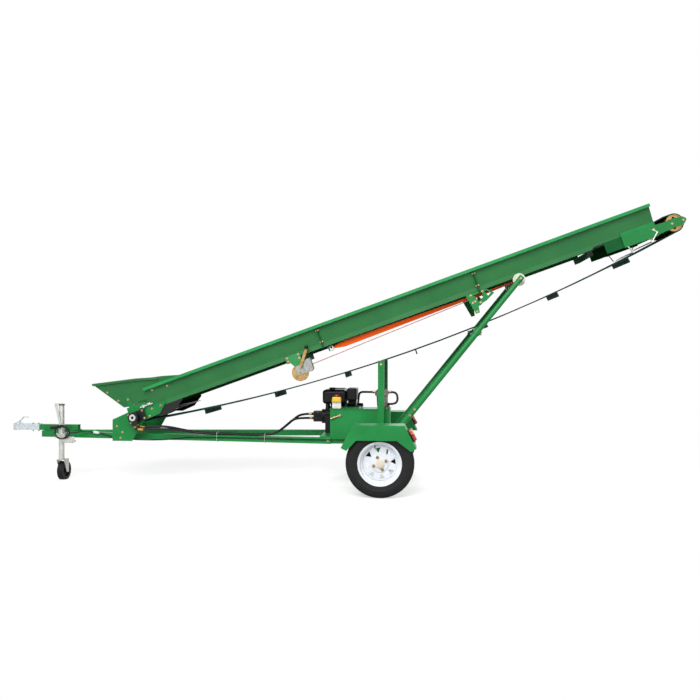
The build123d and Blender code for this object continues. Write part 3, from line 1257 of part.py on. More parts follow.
def strut_legs():
    """Two telescoped tubes with foot eyes, tied by a brace and by the roller axle."""
    y = -STRUT_Y
    low = strut_point(EYE_R - 2, y)
    tube = pipe(low, strut_point(STRUT_LEN + STRUT_OVER, y), STRUT_R, STRUT_R - STRUT_WALL)
    sleeve = pipe(low, strut_point(STRUT_SLEEVE, y), SLEEVE_R, STRUT_R - 1)
    eye = cross_rod(STRUT_FOOT_X, STRUT_FOOT_Z, y - EYE_HALF, y + EYE_HALF, EYE_R)
    hole = cross_rod(STRUT_FOOT_X, STRUT_FOOT_Z, y - EYE_HALF, y + EYE_HALF, FOOT_PIN_R + RUNNING_GAP)
    leg = fuse(tube, sleeve, eye).cut(hole)
    brace = rod(strut_point(BRACE_AT, y), strut_point(BRACE_AT, -y), BRACE_R)
    axle = cross_rod(STRUT_TOP.X, STRUT_TOP.Z, y - AXLE_OUT, -y + AXLE_OUT, ROLLER_AXLE_R)
    return [fuse(leg, mirrored(leg), brace, axle)]


def strut_rollers():
    """Flanged rollers: the tread runs under the trough's foot, the flange beside its wall."""
    x, z = STRUT_TOP.X, STRUT_TOP.Z
    tread = cross_rod(x, z, -ROLLER_FLANGE_Y, -TROUGH_Y + FOOT_FLANGE, ROLLER_TREAD_R)
    flange = cross_rod(x, z, -ROLLER_FLANGE_Y - ROLLER_FLANGE_T, -ROLLER_FLANGE_Y, ROLLER_FLANGE_R)
    bore = cross_rod(x, z, -ROLLER_FLANGE_Y - ROLLER_FLANGE_T, 0, ROLLER_AXLE_R + SEAT_GAP)
    return both(fuse(tread, flange).cut(bore))


def rail_top(x, across, radius):
    """A point of a cord that lies on the near rail, at a distance across from its centre line."""
    return X_AXLE + x, -rail_y(X_AXLE + x) + across, RAIL_TOP + radius + SEAT_GAP


def motor_hoses():
    """Two hoses from the motor, onto the near rail and up to the pump's ports."""
    hoses = []
    sides = (HOSE_R + 1, -HOSE_R - 1)
    for (_, (u, v), y), (port_y, port_z), across in zip(MOTOR_FITTINGS, PUMP_PORTS, sides):
        start = (BOOM * Pos(u, y, v)).position
        points = [(start.X + 1, y, start.Z), (start.X + 95, y + 2, start.Z + 6),
                  (start.X + 200, y + 26, start.Z + 1), (X_AXLE - 1690, -250 + across, 458),
                  (X_AXLE - 1590, -204 + across, 434), rail_top(-1470, across, HOSE_R),
                  rail_top(-960, across, HOSE_R), (X_AXLE - 880, -225 + across, 448),
                  (X_AXLE - 820, -150 + across, 500), (X_AXLE - 775, -50 + across, 545),
                  (X_AXLE - 725, port_y, port_z), (PUMP_BACK - 1, port_y, port_z)]
        hoses.append(cord(points, HOSE_R))
    return hoses


def supply_hoses():
    """The filter's hoses: one over the tank to the pump, one that loops back to an elbow on the tank."""
    x, y = FILTER_AT
    z = TANK_LID_TOP + FILTER_PORT_H
    left, right = x - FILTER_PORT_OUT, x + FILTER_PORT_OUT
    pump_x, pump_z = CASE_X[0] - BELL_LEN - PUMP_LEN / 2, SHAFT_Z + PUMP_SIZE / 3
    behind = TANK_Y[1] + 2 * SUPPLY_HOSE_R
    intake = cord([(left - SEAT_GAP, y, z), (left - 46, y, z), (left - 114, y + 40, z - 2),
                   (left - 132, behind, z - 42), (left - 140, behind, z - 147), (left - 248, behind, z - 185),
                   (left - 388, behind, z - 193), (pump_x, behind + 20, pump_z),
                   (pump_x, SHAFT_Y - PUMP_SIZE / 2 - SEAT_GAP, pump_z)], SUPPLY_HOSE_R)
    elbow_x = x + FILTER_HEAD_R
    low = z - LOOP_DROP
    back = cord([(right + SEAT_GAP, y, z), (right + 34, y, z), (right + 56, y, z - 20),
                 (right + 61, y, low + 30), (right + 36, y, low), (elbow_x, y, low)], SUPPLY_HOSE_R)
    elbow = rod((elbow_x, y, TANK_LID_TOP), (elbow_x, y, low), FILTER_PORT_R)
    corner = Pos(elbow_x, y, low) * Solid.make_sphere(FILTER_PORT_R)
    return [intake, fuse(back, elbow, corner)]


def trailer_lead():
    """The lighting lead: a coil hung on the jockey tube, then along the near rail to the mudguard arm."""
    y = GRIP_Y - GRIP_R - COIL_WIRE_R - SEAT_GAP
    coil_x, coil_z = JOCKEY_X + COIL_R / 2, RAIL_TOP + PLATE
    coil = Solid.make_torus(COIL_R, COIL_WIRE_R, Plane((coil_x, y, coil_z), z_dir=(0, 1, 0)))
    beside = RAIL_HALF_Y + LEAD_R + SEAT_GAP
    end_x = GUARD_ARMS_X[0] - GUARD_ARM_W / 2
    # columns: x from the axle, distance outward from the rail's face, z
    route = ((-2610, 8, 428), (-2500, 4, 414), (-2400, 0, 388), (-2270, 2, 368), (-2100, 0, 360),
             (-1900, 1, 364), (-1740, 0, 382), (-1600, 2, 398), (-500, 6, 400))
    points = [(coil_x + COIL_R, y, coil_z), (coil_x + COIL_R + 40, y + 12, coil_z - 2)]
    points += [(X_AXLE + x, -rail_y(X_AXLE + x) - beside - out, z) for x, out, z in route]
    side = -SIDE_RAIL_Y - TUBE / 2 - LEAD_R
    points += [(X_AXLE - 410, -FRONT_CROSS_Y - LEAD_R - 2, 400), (X_AXLE - 330, side - 1, 399),
               (X_AXLE + end_x - 1, side - 2, 400)]
    return [fuse(coil, cord(points, LEAD_R))]


FRAME_PIECES = (
    drawbar_rails, coupling_tube, tow_coupling, coupling_latch, chassis_cross_tubes, chassis_rails,
    strut_lugs, axle_beam, mudguards, tail_lamps, rest_posts, engine_bed, hydraulic_tank, tank_cap,
    return_filter, engine_block, engine_shroud, engine_fuel_tank, engine_muffler, air_cleaner,
    hydraulic_pump, pivot_beam, pivot_lugs, jockey_tube, jockey_clamp, jockey_crank, jockey_leg,
    jockey_fork, jockey_wheel, strut_legs, strut_rollers, motor_hoses, supply_hoses, trailer_lead,
)
BOOM_PIECES = (
    trough_sides, trough_bed, trough_brackets, belt_carrying_run, belt_return_run, tail_drum, head_drum,
    tail_plates, tail_tray, drive_motor, belt_rods, head_arms, hopper_front, hopper_wings, winch_bracket,
    winch_drum, winch_crank, strut_stops, winch_rope, stay_strap,
)


def write(name, solids):
    shape = solids[0] if len(solids) == 1 else Compound(solids)
    export_step(shape, "parts/" + name + ".step")


os.makedirs("parts", exist_ok=True)
for make in FRAME_PIECES:
    write(make.__name__, make())
for make in BOOM_PIECES:
    write(make.__name__, [BOOM * solid for solid in make()])
for make in (tyre, rim):
    far = make()
    write(make.__name__ + "_far", [far])
    write(make.__name__ + "_near", [mirrored(far)])
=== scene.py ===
# %% [markdown]
# # Dressing a towable firewood conveyor
#
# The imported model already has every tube, sheet, drum and joint of the machine at its real size. This
# lesson gives it its surfaces: enamel, zinc, rubber and webbing, and the small pieces that a workshop
# adds last, such as bolts, hose ends, lamps and the tread of the tyres. Lengths are in millimetres until
# the very last step, where a mesh is stored in metres.

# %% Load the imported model
import math

import bmesh
import bpy
import numpy as np
from mathutils import Matrix


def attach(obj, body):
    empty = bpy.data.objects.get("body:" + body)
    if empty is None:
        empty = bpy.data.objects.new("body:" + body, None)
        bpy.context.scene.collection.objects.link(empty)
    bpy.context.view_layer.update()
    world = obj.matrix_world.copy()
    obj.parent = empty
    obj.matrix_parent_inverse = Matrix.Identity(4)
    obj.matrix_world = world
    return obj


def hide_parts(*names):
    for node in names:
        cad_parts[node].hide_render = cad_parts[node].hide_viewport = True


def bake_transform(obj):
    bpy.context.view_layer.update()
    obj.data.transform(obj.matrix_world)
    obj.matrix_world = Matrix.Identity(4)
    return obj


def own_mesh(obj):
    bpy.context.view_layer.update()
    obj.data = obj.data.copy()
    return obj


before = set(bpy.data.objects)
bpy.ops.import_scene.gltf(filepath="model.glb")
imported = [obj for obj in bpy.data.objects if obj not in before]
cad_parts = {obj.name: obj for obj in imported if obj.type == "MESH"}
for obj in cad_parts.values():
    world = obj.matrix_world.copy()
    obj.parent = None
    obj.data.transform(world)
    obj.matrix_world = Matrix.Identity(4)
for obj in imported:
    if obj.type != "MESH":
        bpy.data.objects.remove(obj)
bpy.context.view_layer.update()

# %% [markdown]
# ## Where things are
#
# The boom slopes, so its pieces are easiest to place in its own directions: u along the line between the
# two belt drums, y across and v above that line. One matrix product turns a whole array of such points
# into the part's frame.

# %% The boom's own directions
MM = 0.001
X_AXLE, HALF_TRACK, TYRE_R = 473.4, 652.0, 265.0
TAIL = np.array([X_AXLE - 2090.0, 0.0, 570.0])
SLOPE = math.radians(19.7)
ALONG = np.array([math.cos(SLOPE), 0.0, math.sin(SLOPE)])
ABOVE = np.array([-math.sin(SLOPE), 0.0, math.cos(SLOPE)])
ACROSS = np.array([0.0, 1.0, 0.0])
BOOM_LEN = 4685.0
NEAR = np.array([0.0, -1.0, 0.0])
EAST = np.array([1.0, 0.0, 0.0])
UP = np.array([0.0, 0.0, 1.0])
MIRROR = np.array([1.0, -1.0, 1.0])
SIDES = (("near", -1), ("far", 1))
WALL_Y, WALL_BEND = 270.0, 52.0
WALL_LEAN = 34.0 / 153.0


def on_boom(points):
    """Boom points (u, y, v): the tail shaft, plus u along, y across and v above."""
    return TAIL + np.asarray(points, float) @ np.array([ALONG, ACROSS, ABOVE])


def flare_y(v):
    """How far out the trough's wall stands: upright to 52 mm, then leaning out by 34 in 153."""
    return WALL_Y + np.maximum(np.asarray(v, float) - WALL_BEND, 0.0) * WALL_LEAN


FLARE_OUT = -0.9763 * ACROSS - 0.217 * ABOVE
print("head shaft at", np.round(on_boom([BOOM_LEN, 0, 0])))

# %% [markdown]
# ## Surfaces from arrays
#
# Almost every small piece here is a grid of points: a profile turned about an axis, or a profile carried
# along a path. So a few helpers are enough. Each one works on whole arrays, and `put` stores the result as
# a mesh, welds the seam and turns the faces outwards.


# %% Mesh helpers
def grid_faces(rows, cols, wrap_rows=False):
    """Quads between neighbouring points of a grid whose columns close into rings."""
    r = np.arange(rows if wrap_rows else rows - 1)[:, None]
    c = np.arange(cols)[None, :]
    r_next, c_next = (r + 1) % rows, (c + 1) % cols
    corners = (r * cols + c, r * cols + c_next, r_next * cols + c_next, r_next * cols + c)
    return np.stack(corners, -1).reshape(-1, 4)


def turned(profile, sides=40):
    """A profile of (radius, height) points turned about the third axis: (r cos t, r sin t, h)."""
    radius, height = np.asarray(profile, float).T[:, :, None]
    t = np.linspace(0, 2 * np.pi, sides, endpoint=False)
    rings = np.broadcast_arrays(radius * np.cos(t), radius * np.sin(t), height)
    return np.stack(rings, -1).reshape(-1, 3), grid_faces(len(radius), sides)


def carried(path, profile, size=1.0, upright=(0.0, 0.0, 1.0), closed=False):
    """A closed profile carried along a path: path + size * (a * side + b * up) for each (a, b)."""
    path = np.asarray(path, float)
    ahead = np.roll(path, -1, 0) - np.roll(path, 1, 0) if closed else np.gradient(path, axis=0)
    ahead = ahead / np.linalg.norm(ahead, axis=1, keepdims=True)
    side = np.cross(ahead, upright)
    side = side / np.linalg.norm(side, axis=1, keepdims=True)
    up = np.cross(side, ahead)
    size = np.broadcast_to(size, len(path))
    if not closed:
        ends = [0, *range(len(path)), len(path) - 1]
        path, side, up, size = path[ends], side[ends], up[ends], size[ends].copy()
        size[[0, -1]] = 0.0
    spread = profile[:, 0, None] * side[:, None] + profile[:, 1, None] * up[:, None]
    rings = path[:, None] + size[:, None, None] * spread
    return rings.reshape(-1, 3), grid_faces(len(path), len(profile), closed)


def circle(radius, sides=16):
    """Points (r cos t, r sin t)."""
    t = np.linspace(0, 2 * np.pi, sides, endpoint=False)
    return radius * np.stack([np.cos(t), np.sin(t)], -1)


def swell(wave, power):
    """A sine or cosine with its sign kept and its size raised to a power: below 1 it fills out corners."""
    return np.sign(wave) * np.abs(wave) ** power


def aimed(axis):
    """Three square directions as rows, the last along axis."""
    axis = np.asarray(axis, float) / np.linalg.norm(axis)
    side = np.cross(axis, [0.0, 0.0, 1.0] if abs(axis[2]) < 0.9 else [1.0, 0.0, 0.0])
    side = side / np.linalg.norm(side)
    return np.array([side, np.cross(axis, side), axis])


def copies(shape, places, axes):
    """One shape at many places: place + shape turned so that its third axis lies along the axis."""
    verts, faces = shape
    places = np.atleast_2d(np.asarray(places, float))
    turns = np.array([aimed(a) for a in np.broadcast_to(axes, places.shape)])
    placed = np.einsum("ni,kij->knj", verts, turns) + places[:, None]
    offsets = np.arange(len(places))[:, None, None] * len(verts)
    return placed.reshape(-1, 3), (faces[None] + offsets).reshape(-1, 4)


def joined(*shapes):
    """Several shapes as one: their points end to end, their faces counted on."""
    starts = np.cumsum([0] + [len(verts) for verts, _ in shapes[:-1]])
    faces = [faces + start for (_, faces), start in zip(shapes, starts)]
    return np.concatenate([verts for verts, _ in shapes]), np.concatenate(faces)


def both_sides(shape, places, axis):
    """Copies at the near places and at the same places on the far side."""
    axis = np.asarray(axis, float)
    return joined(copies(shape, places, axis), copies(shape, np.asarray(places) * MIRROR, axis * MIRROR))


def put(name, shape, finish, body=None, sharp=0.6):
    """A shape in millimetres as a welded mesh piece; it rides on a body when one is given."""
    verts, faces = shape
    mesh = bpy.data.meshes.new(name)
    mesh.from_pydata((verts * MM).tolist(), [], faces.tolist())
    shell = bmesh.new()
    shell.from_mesh(mesh)
    bmesh.ops.remove_doubles(shell, verts=shell.verts, dist=2e-6)
    bmesh.ops.dissolve_degenerate(shell, edges=shell.edges, dist=1e-7)
    bmesh.ops.recalc_face_normals(shell, faces=shell.faces)
    shell.to_mesh(mesh)
    shell.free()
    mesh.shade_smooth()
    mesh.set_sharp_from_angle(angle=sharp)
    mesh.materials.append(finish)
    piece = bpy.data.objects.new(name, mesh)
    bpy.context.scene.collection.objects.link(piece)
    if body:
        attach(piece, body)
    return piece


print("helpers ready")

# %% [markdown]
# ## Finishes
#
# A finish starts from a colour pair, because no paint or casting is one flat colour. A slow noise moves
# between the two and makes some patches glossier than others, and a fine noise gives the grain its bump.
# Sizes are real: orange peel in enamel is about 3 mm, the grain of a casting about 1 mm.


# %% One node helper and the shared finish
def linear(code):
    """An sRGB hex code as linear colour: c / 12.92 when dark, else ((c + 0.055) / 1.055) ** 2.4."""
    c = np.array([int(code[i:i + 2], 16) for i in (1, 3, 5)]) / 255
    rgb = np.where(c <= 0.04045, c / 12.92, ((c + 0.055) / 1.055) ** 2.4)
    return (*rgb.tolist(), 1.0)


def fill(tree, target, inputs):
    """Gives each named socket of a node its value or its link."""
    for socket, value in inputs.items():
        if isinstance(value, bpy.types.NodeSocket):
            tree.links.new(value, target.inputs[socket])
        else:
            target.inputs[socket].default_value = value


def node(tree, kind, inputs=None, stops=(), **settings):
    """Adds a node, sets its properties and ramp stops, and fills its sockets."""
    added = tree.nodes.new(kind)
    for i, (spot, code) in enumerate(stops):
        added.color_ramp.elements[i].position = spot
        added.color_ramp.elements[i].color = linear(code)
    for key, value in settings.items():
        setattr(added, key, value)
    fill(tree, added, inputs or {})
    return added


def blank(name):
    """A new material: its tree, its surface shader and the piece's own coordinates."""
    material = bpy.data.materials.new(name)
    material.use_nodes = True
    tree = material.node_tree
    place = node(tree, "ShaderNodeTexCoord").outputs["Object"]
    return material, tree, tree.nodes["Principled BSDF"], place


def finish(name, codes, patch_mm, grain_mm, grain_depth_mm, rough, metallic=0.0, coat=0.0, shine=0.5):
    """Two tones in soft patches that also vary the gloss, and a fine grain in the bump."""
    material, tree, surface, place = blank(name)
    patches = node(tree, "ShaderNodeTexNoise", {"Vector": place, "Scale": 1000 / patch_mm, "Detail": 3.0})
    grain = node(tree, "ShaderNodeTexNoise", {"Vector": place, "Scale": 1000 / grain_mm, "Detail": 2.0})
    gloss = node(tree, "ShaderNodeMapRange",
                 {"Value": patches.outputs["Fac"], "To Min": rough[0], "To Max": rough[1]})
    bump = node(tree, "ShaderNodeBump", {"Height": grain.outputs["Fac"], "Distance": grain_depth_mm * MM})
    tones = node(tree, "ShaderNodeValToRGB", {"Fac": patches.outputs["Fac"]},
                 ((0.35, codes[0]), (0.65, codes[1])))
    fill(tree, surface, {"Base Color": tones.outputs["Color"], "Roughness": gloss.outputs["Result"],
                         "Normal": bump.outputs["Normal"], "Metallic": metallic,
                         "Specular IOR Level": shine, "Coat Weight": coat})
    return material


# %% [markdown]
# Sprayed enamel on steel is a slightly rippled film, glossy on the tubes and satin on the broad sheets. Zinc
# plate is a soft grey metal, and its yellow passivated kind drifts between straw and olive. Rubber and
# moulded plastic are dull, with a fine grain from the mould. After the name and the two tones, each line
# gives the width of the patches, the width and depth of the grain in millimetres, and the range of roughness.

# %% Finishes that share the recipe
green_enamel = finish("green_enamel_on_steel", ("#1E7F3D", "#268C48"),
                      260, 3.0, 0.02, (0.3, 0.4), shine=0.22)
# painted shade: darker tones than the tubes' green on the trough's walls and the hopper
shaded_sheet_enamel = finish("satin_green_enamel_with_painted_shade", ("#276C39", "#307741"),
                      320, 3.0, 0.02, (0.42, 0.52), shine=0.3)
# painted shade: the frame's green enamel, darker and matt for the members under the trough
painted_shade_enamel = finish("matt_green_enamel_with_painted_shade", ("#1B5A30", "#226637"),
                      260, 3.0, 0.02, (0.8, 0.9), shine=0.1)
black_enamel = finish("black_enamel_on_steel", ("#0B0B0C", "#131415"),
                      180, 3.0, 0.03, (0.34, 0.46), shine=0.35)
white_enamel = finish("white_wheel_enamel", ("#DDE2E8", "#E9EDF2"),
                      120, 3.0, 0.02, (0.3, 0.4), coat=0.15)
bright_zinc = finish("bright_zinc_plate", ("#C3C5C0", "#DADBD4"),
                     60, 0.8, 0.01, (0.34, 0.46), metallic=0.7)
yellow_zinc = finish("yellow_passivated_zinc", ("#977A4A", "#B69661"),
                     30, 0.8, 0.01, (0.3, 0.44), metallic=0.85)
bolt_zinc = finish("copper_toned_bolt_zinc", ("#A98462", "#D3B795"),
                   12, 0.8, 0.01, (0.32, 0.46), metallic=0.7)
brass = finish("turned_brass", ("#8C6C38", "#B8965A"), 25, 0.6, 0.01, (0.28, 0.4), metallic=0.9)
cast_aluminium = finish("sand_cast_aluminium", ("#7B776F", "#A19B90"),
                        50, 1.2, 0.12, (0.42, 0.58), metallic=0.8)
black_casting = finish("black_painted_casting", ("#030303", "#0A0A0B"),
                       60, 1.2, 0.1, (0.38, 0.52), shine=0.25)
black_abs = finish("moulded_black_abs", ("#030303", "#090A0B"), 80, 0.9, 0.04, (0.34, 0.46), shine=0.25)
hose_rubber = finish("hose_rubber", ("#0B0C0E", "#16171A"), 40, 1.5, 0.08, (0.42, 0.6), shine=0.35)
nylon = finish("moulded_ivory_nylon", ("#D8D8C4", "#E7E6D6"), 60, 1.0, 0.03, (0.32, 0.45))
cream_cap = finish("cream_moulded_cap", ("#D9CFB6", "#E9E1CC"), 40, 1.0, 0.03, (0.32, 0.42))
tie_nylon = finish("white_tie_nylon", ("#DADAD8", "#EEEEEC"), 30, 1.0, 0.02, (0.35, 0.5))
red_abs = finish("signal_red_abs", ("#B3160F", "#C92318"), 30, 1.0, 0.02, (0.24, 0.34), coat=0.2)
yellow_abs = finish("signal_yellow_abs", ("#E8B400", "#F4C81E"), 30, 1.0, 0.02, (0.3, 0.42))
amber_lens = finish("amber_acrylic", ("#D9560C", "#F0721E"), 20, 2.5, 0.25, (0.12, 0.2), coat=0.4)
red_lens = finish("red_acrylic", ("#9C0F0C", "#BD1A14"), 20, 2.5, 0.25, (0.12, 0.2), coat=0.4)
print("shared finishes:", len(bpy.data.materials))

# %% [markdown]
# Hot-dip galvanised steel shows spangle: flat crystals about a centimetre wide, each a slightly different
# grey. A Voronoi pattern gives each cell its own random tone, which is just what the crystals do.

# %% Galvanised steel
galvanised, tree, surface, place = blank("hot_dip_galvanised_steel")
SPANGLE = 11.0
crystals = node(tree, "ShaderNodeTexVoronoi", {"Vector": place, "Scale": 1000 / SPANGLE})
tone = node(tree, "ShaderNodeSeparateColor", {"Color": crystals.outputs["Color"]})
greys = node(tree, "ShaderNodeValToRGB", {"Fac": tone.outputs["Red"]}, ((0.0, "#BCC6CC"), (1.0, "#DDE5EA")))
gloss = node(tree, "ShaderNodeMapRange", {"Value": tone.outputs["Green"], "To Min": 0.3, "To Max": 0.5})
fill(tree, surface, {"Base Color": greys.outputs["Color"], "Roughness": gloss.outputs["Result"],
                     "Metallic": 0.7})
print("galvanised crystals", SPANGLE, "mm wide")

# %% [markdown]
# The belt is dark green rubber over fabric. Its cover carries a shallow cloth print, two crossed sets of
# ribs about 10 mm apart. A wave texture repeats every 2 pi / 20 of its own units, so its scale for ribs in
# metres is that length over the step. The tyres are plain black rubber with a dusty sheen.

# %% Belt and tyre rubber
RIB_STEP, DUST_PATCH = 10.0, 90.0


def crossed_ribs(tree, place, ways):
    """Two sets of ribs turned to the boom's slope and multiplied: high only where both are high."""
    sloped = node(tree, "ShaderNodeMapping", {"Vector": place, "Rotation": (0.0, SLOPE, 0.0)})
    scale = 2 * math.pi / 20 / (RIB_STEP * MM)
    ribs = [node(tree, "ShaderNodeTexWave", {"Vector": sloped.outputs["Vector"], "Scale": scale},
                 bands_direction=way) for way in ways]
    both = node(tree, "ShaderNodeMath", {0: ribs[0].outputs["Fac"], 1: ribs[1].outputs["Fac"]},
                operation="MULTIPLY")
    return both.outputs["Value"]


belt_rubber, tree, surface, place = blank("belt_cover_rubber")
print_height = crossed_ribs(tree, place, ("X", "Y"))
dust = node(tree, "ShaderNodeTexNoise", {"Vector": place, "Scale": 1000 / DUST_PATCH, "Detail": 5.0})
cover = node(tree, "ShaderNodeValToRGB", {"Fac": dust.outputs["Fac"]}, ((0.35, "#0E332B"), (0.7, "#174339")))
bump = node(tree, "ShaderNodeBump", {"Height": print_height, "Distance": 0.4 * MM})
fill(tree, surface, {"Base Color": cover.outputs["Color"], "Normal": bump.outputs["Normal"],
                     "Roughness": 0.78, "Specular IOR Level": 0.12})
tyre_rubber = finish("tyre_rubber", ("#0C0C0D", "#151415"), 70, 1.6, 0.12, (0.55, 0.72), shine=0.3)
print("belt print", RIB_STEP, "mm")

# %% [markdown]
# Webbing is woven: ribs run along it every few millimetres and the weft crosses them. The weave is really
# about 1.5 mm, which is too fine to show from six metres, so it is drawn at the belt's step, and the same
# wave bands follow the strap.

# %% Webbing and rope
webbing, tree, surface, place = blank("woven_polyester_webbing")
weave = crossed_ribs(tree, place, ("Z", "X"))
# painted shade: the orange is darker where the weave is low, in the hollows between the ribs
weave_shaded_orange = node(tree, "ShaderNodeValToRGB", {"Fac": weave}, ((0.1, "#E8520C"), (0.8, "#F76A1A")))
bump = node(tree, "ShaderNodeBump", {"Height": weave, "Distance": 0.5 * MM})
fill(tree, surface, {"Base Color": weave_shaded_orange.outputs["Color"], "Normal": bump.outputs["Normal"],
                     "Roughness": 0.7, "Specular IOR Level": 0.2})
rope_fibre = finish("laid_polypropylene_rope", ("#B57670", "#D6A19B"), 18, 1.2, 0.2, (0.55, 0.7))
print("weave drawn at", RIB_STEP, "mm")

# %% [markdown]
# Three nodes carry two tones each: a plated frame is bolted to a painted hanger, a black cap sits on a
# plated neck, and the trough's sheet has satin walls darkened as painted shade, with a folded lip above them
# lightened as a painted highlight where it faces up into the light. The step between them is a plane, so
# the distance along one direction is enough to choose the side.


# %% Two finishes in one piece
def split(name, way, at_mm, below, above, patch_mm=20, rough=0.36, shine=0.5):
    """Base colour and metal that change over at a plane: p . way > at."""
    material, tree, surface, place = blank(name)
    reach = node(tree, "ShaderNodeVectorMath", {0: place, 1: tuple(way)}, operation="DOT_PRODUCT")
    side = node(tree, "ShaderNodeMath", {0: reach.outputs["Value"], 1: at_mm * MM}, operation="GREATER_THAN")
    grain = node(tree, "ShaderNodeTexNoise", {"Vector": place, "Scale": 1000 / patch_mm, "Detail": 3.0})
    tones = [node(tree, "ShaderNodeValToRGB", {"Fac": grain.outputs["Fac"]},
                  ((0.35, codes[0]), (0.65, codes[1]))) for codes, _ in (below, above)]
    colour = node(tree, "ShaderNodeMix", {0: side.outputs["Value"], 6: tones[0].outputs["Color"],
                                          7: tones[1].outputs["Color"]}, data_type="RGBA")
    metal = node(tree, "ShaderNodeMapRange",
                 {"Value": side.outputs["Value"], "To Min": below[1], "To Max": above[1]})
    fill(tree, surface, {"Base Color": colour.outputs[2], "Metallic": metal.outputs["Result"],
                         "Roughness": rough, "Specular IOR Level": shine})
    return material


# each finish: its two tones, and how far it is metal
PLATED = (("#8E908C", "#A9ABA6"), 0.7)
GREEN = (("#1E7F3D", "#268C48"), 0.0)
BLACK = (("#060607", "#0E0F10"), 0.0)
# painted shade: the sheet's walls are darker than the tubes' green
SATIN_SHADE = (("#276C39", "#307741"), 0.0)
# painted highlight: the lip's tones are lighter because it faces up into the light
LIP_HIGHLIGHT = (("#1C8A45", "#25964F"), 0.0)
HANGER_Y, NECK_TOP, LIP_FOOT = -270.1, 667.0, 182.0
painted_hanger = split("painted_hanger_on_plated_frame", ACROSS, HANGER_Y, GREEN, PLATED)
capped_neck = split("moulded_cap_on_plated_neck", UP, NECK_TOP, PLATED, BLACK)
sheet_with_lip_highlight = split("shaded_sheet_with_painted_highlight_on_lip", ABOVE, TAIL @ ABOVE + LIP_FOOT, SATIN_SHADE, LIP_HIGHLIGHT,
                     patch_mm=320, rough=0.47, shine=0.3)
print("split finishes ready")

# %% [markdown]
# ## Painting the model's own nodes
#
# Most nodes are already the right shape and only need their finish. The list names the exceptions, and all
# that is left is green enamel.

# %% Assign finishes
NODE_FINISH = {
    galvanised: ["tow_coupling", "coupling_latch"],
    bright_zinc: ["jockey_tube", "jockey_leg", "jockey_fork", "jockey_clamp", "jockey_crank", "tail_drum",
                  "belt_rods"],
    yellow_zinc: ["head_drum", "winch_drum", "winch_crank"],
    white_enamel: ["rim_near", "rim_far"],
    shaded_sheet_enamel: ["hopper_wings", "hopper_front"],
    sheet_with_lip_highlight: ["trough_sides"],
    painted_shade_enamel: ["trough_brackets"],
    black_enamel: ["tail_tray", "drive_motor"],
    black_casting: ["engine_block", "hydraulic_pump"],
    black_abs: ["engine_shroud", "engine_fuel_tank", "engine_muffler", "air_cleaner"],
    cast_aluminium: ["return_filter"],
    belt_rubber: ["belt_carrying_run", "belt_return_run"],
    tyre_rubber: ["jockey_wheel"],
    nylon: ["strut_rollers"],
    painted_hanger: ["winch_bracket"],
    capped_neck: ["tank_cap"],
}
chosen = {name: material for material, names in NODE_FINISH.items() for name in names}
for name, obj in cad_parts.items():
    obj.data.materials.clear()
    obj.data.materials.append(chosen.get(name, green_enamel))
print("painted", len(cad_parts), "nodes,", len(chosen), "of them not green")

# %% [markdown]
# ## Camera
#
# The camera stands where the photograph was taken: 6.2 m off to the side, at 1.12 m, turned 5.5 degrees
# toward the tail. A focal length of 722.6 pixels on a 700 pixel frame is a 37.16 mm lens on 36 mm film.

# %% Place the camera
FILM, FOCAL_PX, FRAME_PX = 36.0, 722.6, 700
lens = bpy.data.cameras.new("camera")
lens.sensor_width = FILM
lens.lens = FOCAL_PX * FILM / FRAME_PX
camera = bpy.data.objects.new("camera", lens)
camera.location = ((X_AXLE + 306.0) * MM, -6.220, 1.122)
camera.rotation_euler = (math.radians(90.15), 0.0, math.radians(5.52))
bpy.context.scene.collection.objects.link(camera)
bpy.context.scene.camera = camera
print("lens", round(lens.lens, 2), "mm")

# %% [markdown]
# ## Hoses and the lighting lead
#
# Each hose is one smooth curve, not bent wire: a NURBS spline of order 3 takes the route's points as its
# control points and rounds every corner. The spline is read back as points, and a circle carried along
# them makes the hose.


# %% A smooth line from a route
def smooth(points, resolution=14):
    """Points along the order 3 NURBS curve whose control points are the route."""
    curve = bpy.data.curves.new("route", "CURVE")
    curve.dimensions = "3D"
    spline = curve.splines.new("NURBS")
    spline.points.add(len(points) - 1)
    spline.points.foreach_set("co", np.c_[np.asarray(points, float), np.ones(len(points))].ravel())
    spline.order_u = 3
    spline.use_endpoint_u = True
    spline.resolution_u = resolution
    holder = bpy.data.objects.new("route", curve)
    line = bpy.data.meshes.new_from_object(holder)
    path = np.empty(len(line.vertices) * 3)
    line.vertices.foreach_get("co", path)
    bpy.data.objects.remove(holder)
    bpy.data.curves.remove(curve)
    bpy.data.meshes.remove(line)
    return path.reshape(-1, 3)


def rail_y(x):
    """The near drawbar rail's centre line: 42 mm out at the nose, then 255 in 2580."""
    return -42.0 - (x + 3050.0) * 255.0 / 2580.0


def hose_route(start, across, port):
    """From a motor fitting down to the near rail, along its top, and up to a pump port."""
    x, y, z = start
    rest = [(-1690, -250 + across, 458), (-1590, -204 + across, 434), (-1470, rail_y(-1470) + across, 426.3),
            (-960, rail_y(-960) + across, 426.3), (-880, -225 + across, 448), (-820, -150 + across, 500),
            (-775, -50 + across, 545), (-725, *port), (-636, *port)]
    lead_in = [(x + 1, y, z), (x + 95, y + 2, z + 6), (x + 200, y + 26, z + 1)]
    return np.array(lead_in + [(X_AXLE + a, b, c) for a, b, c in rest])


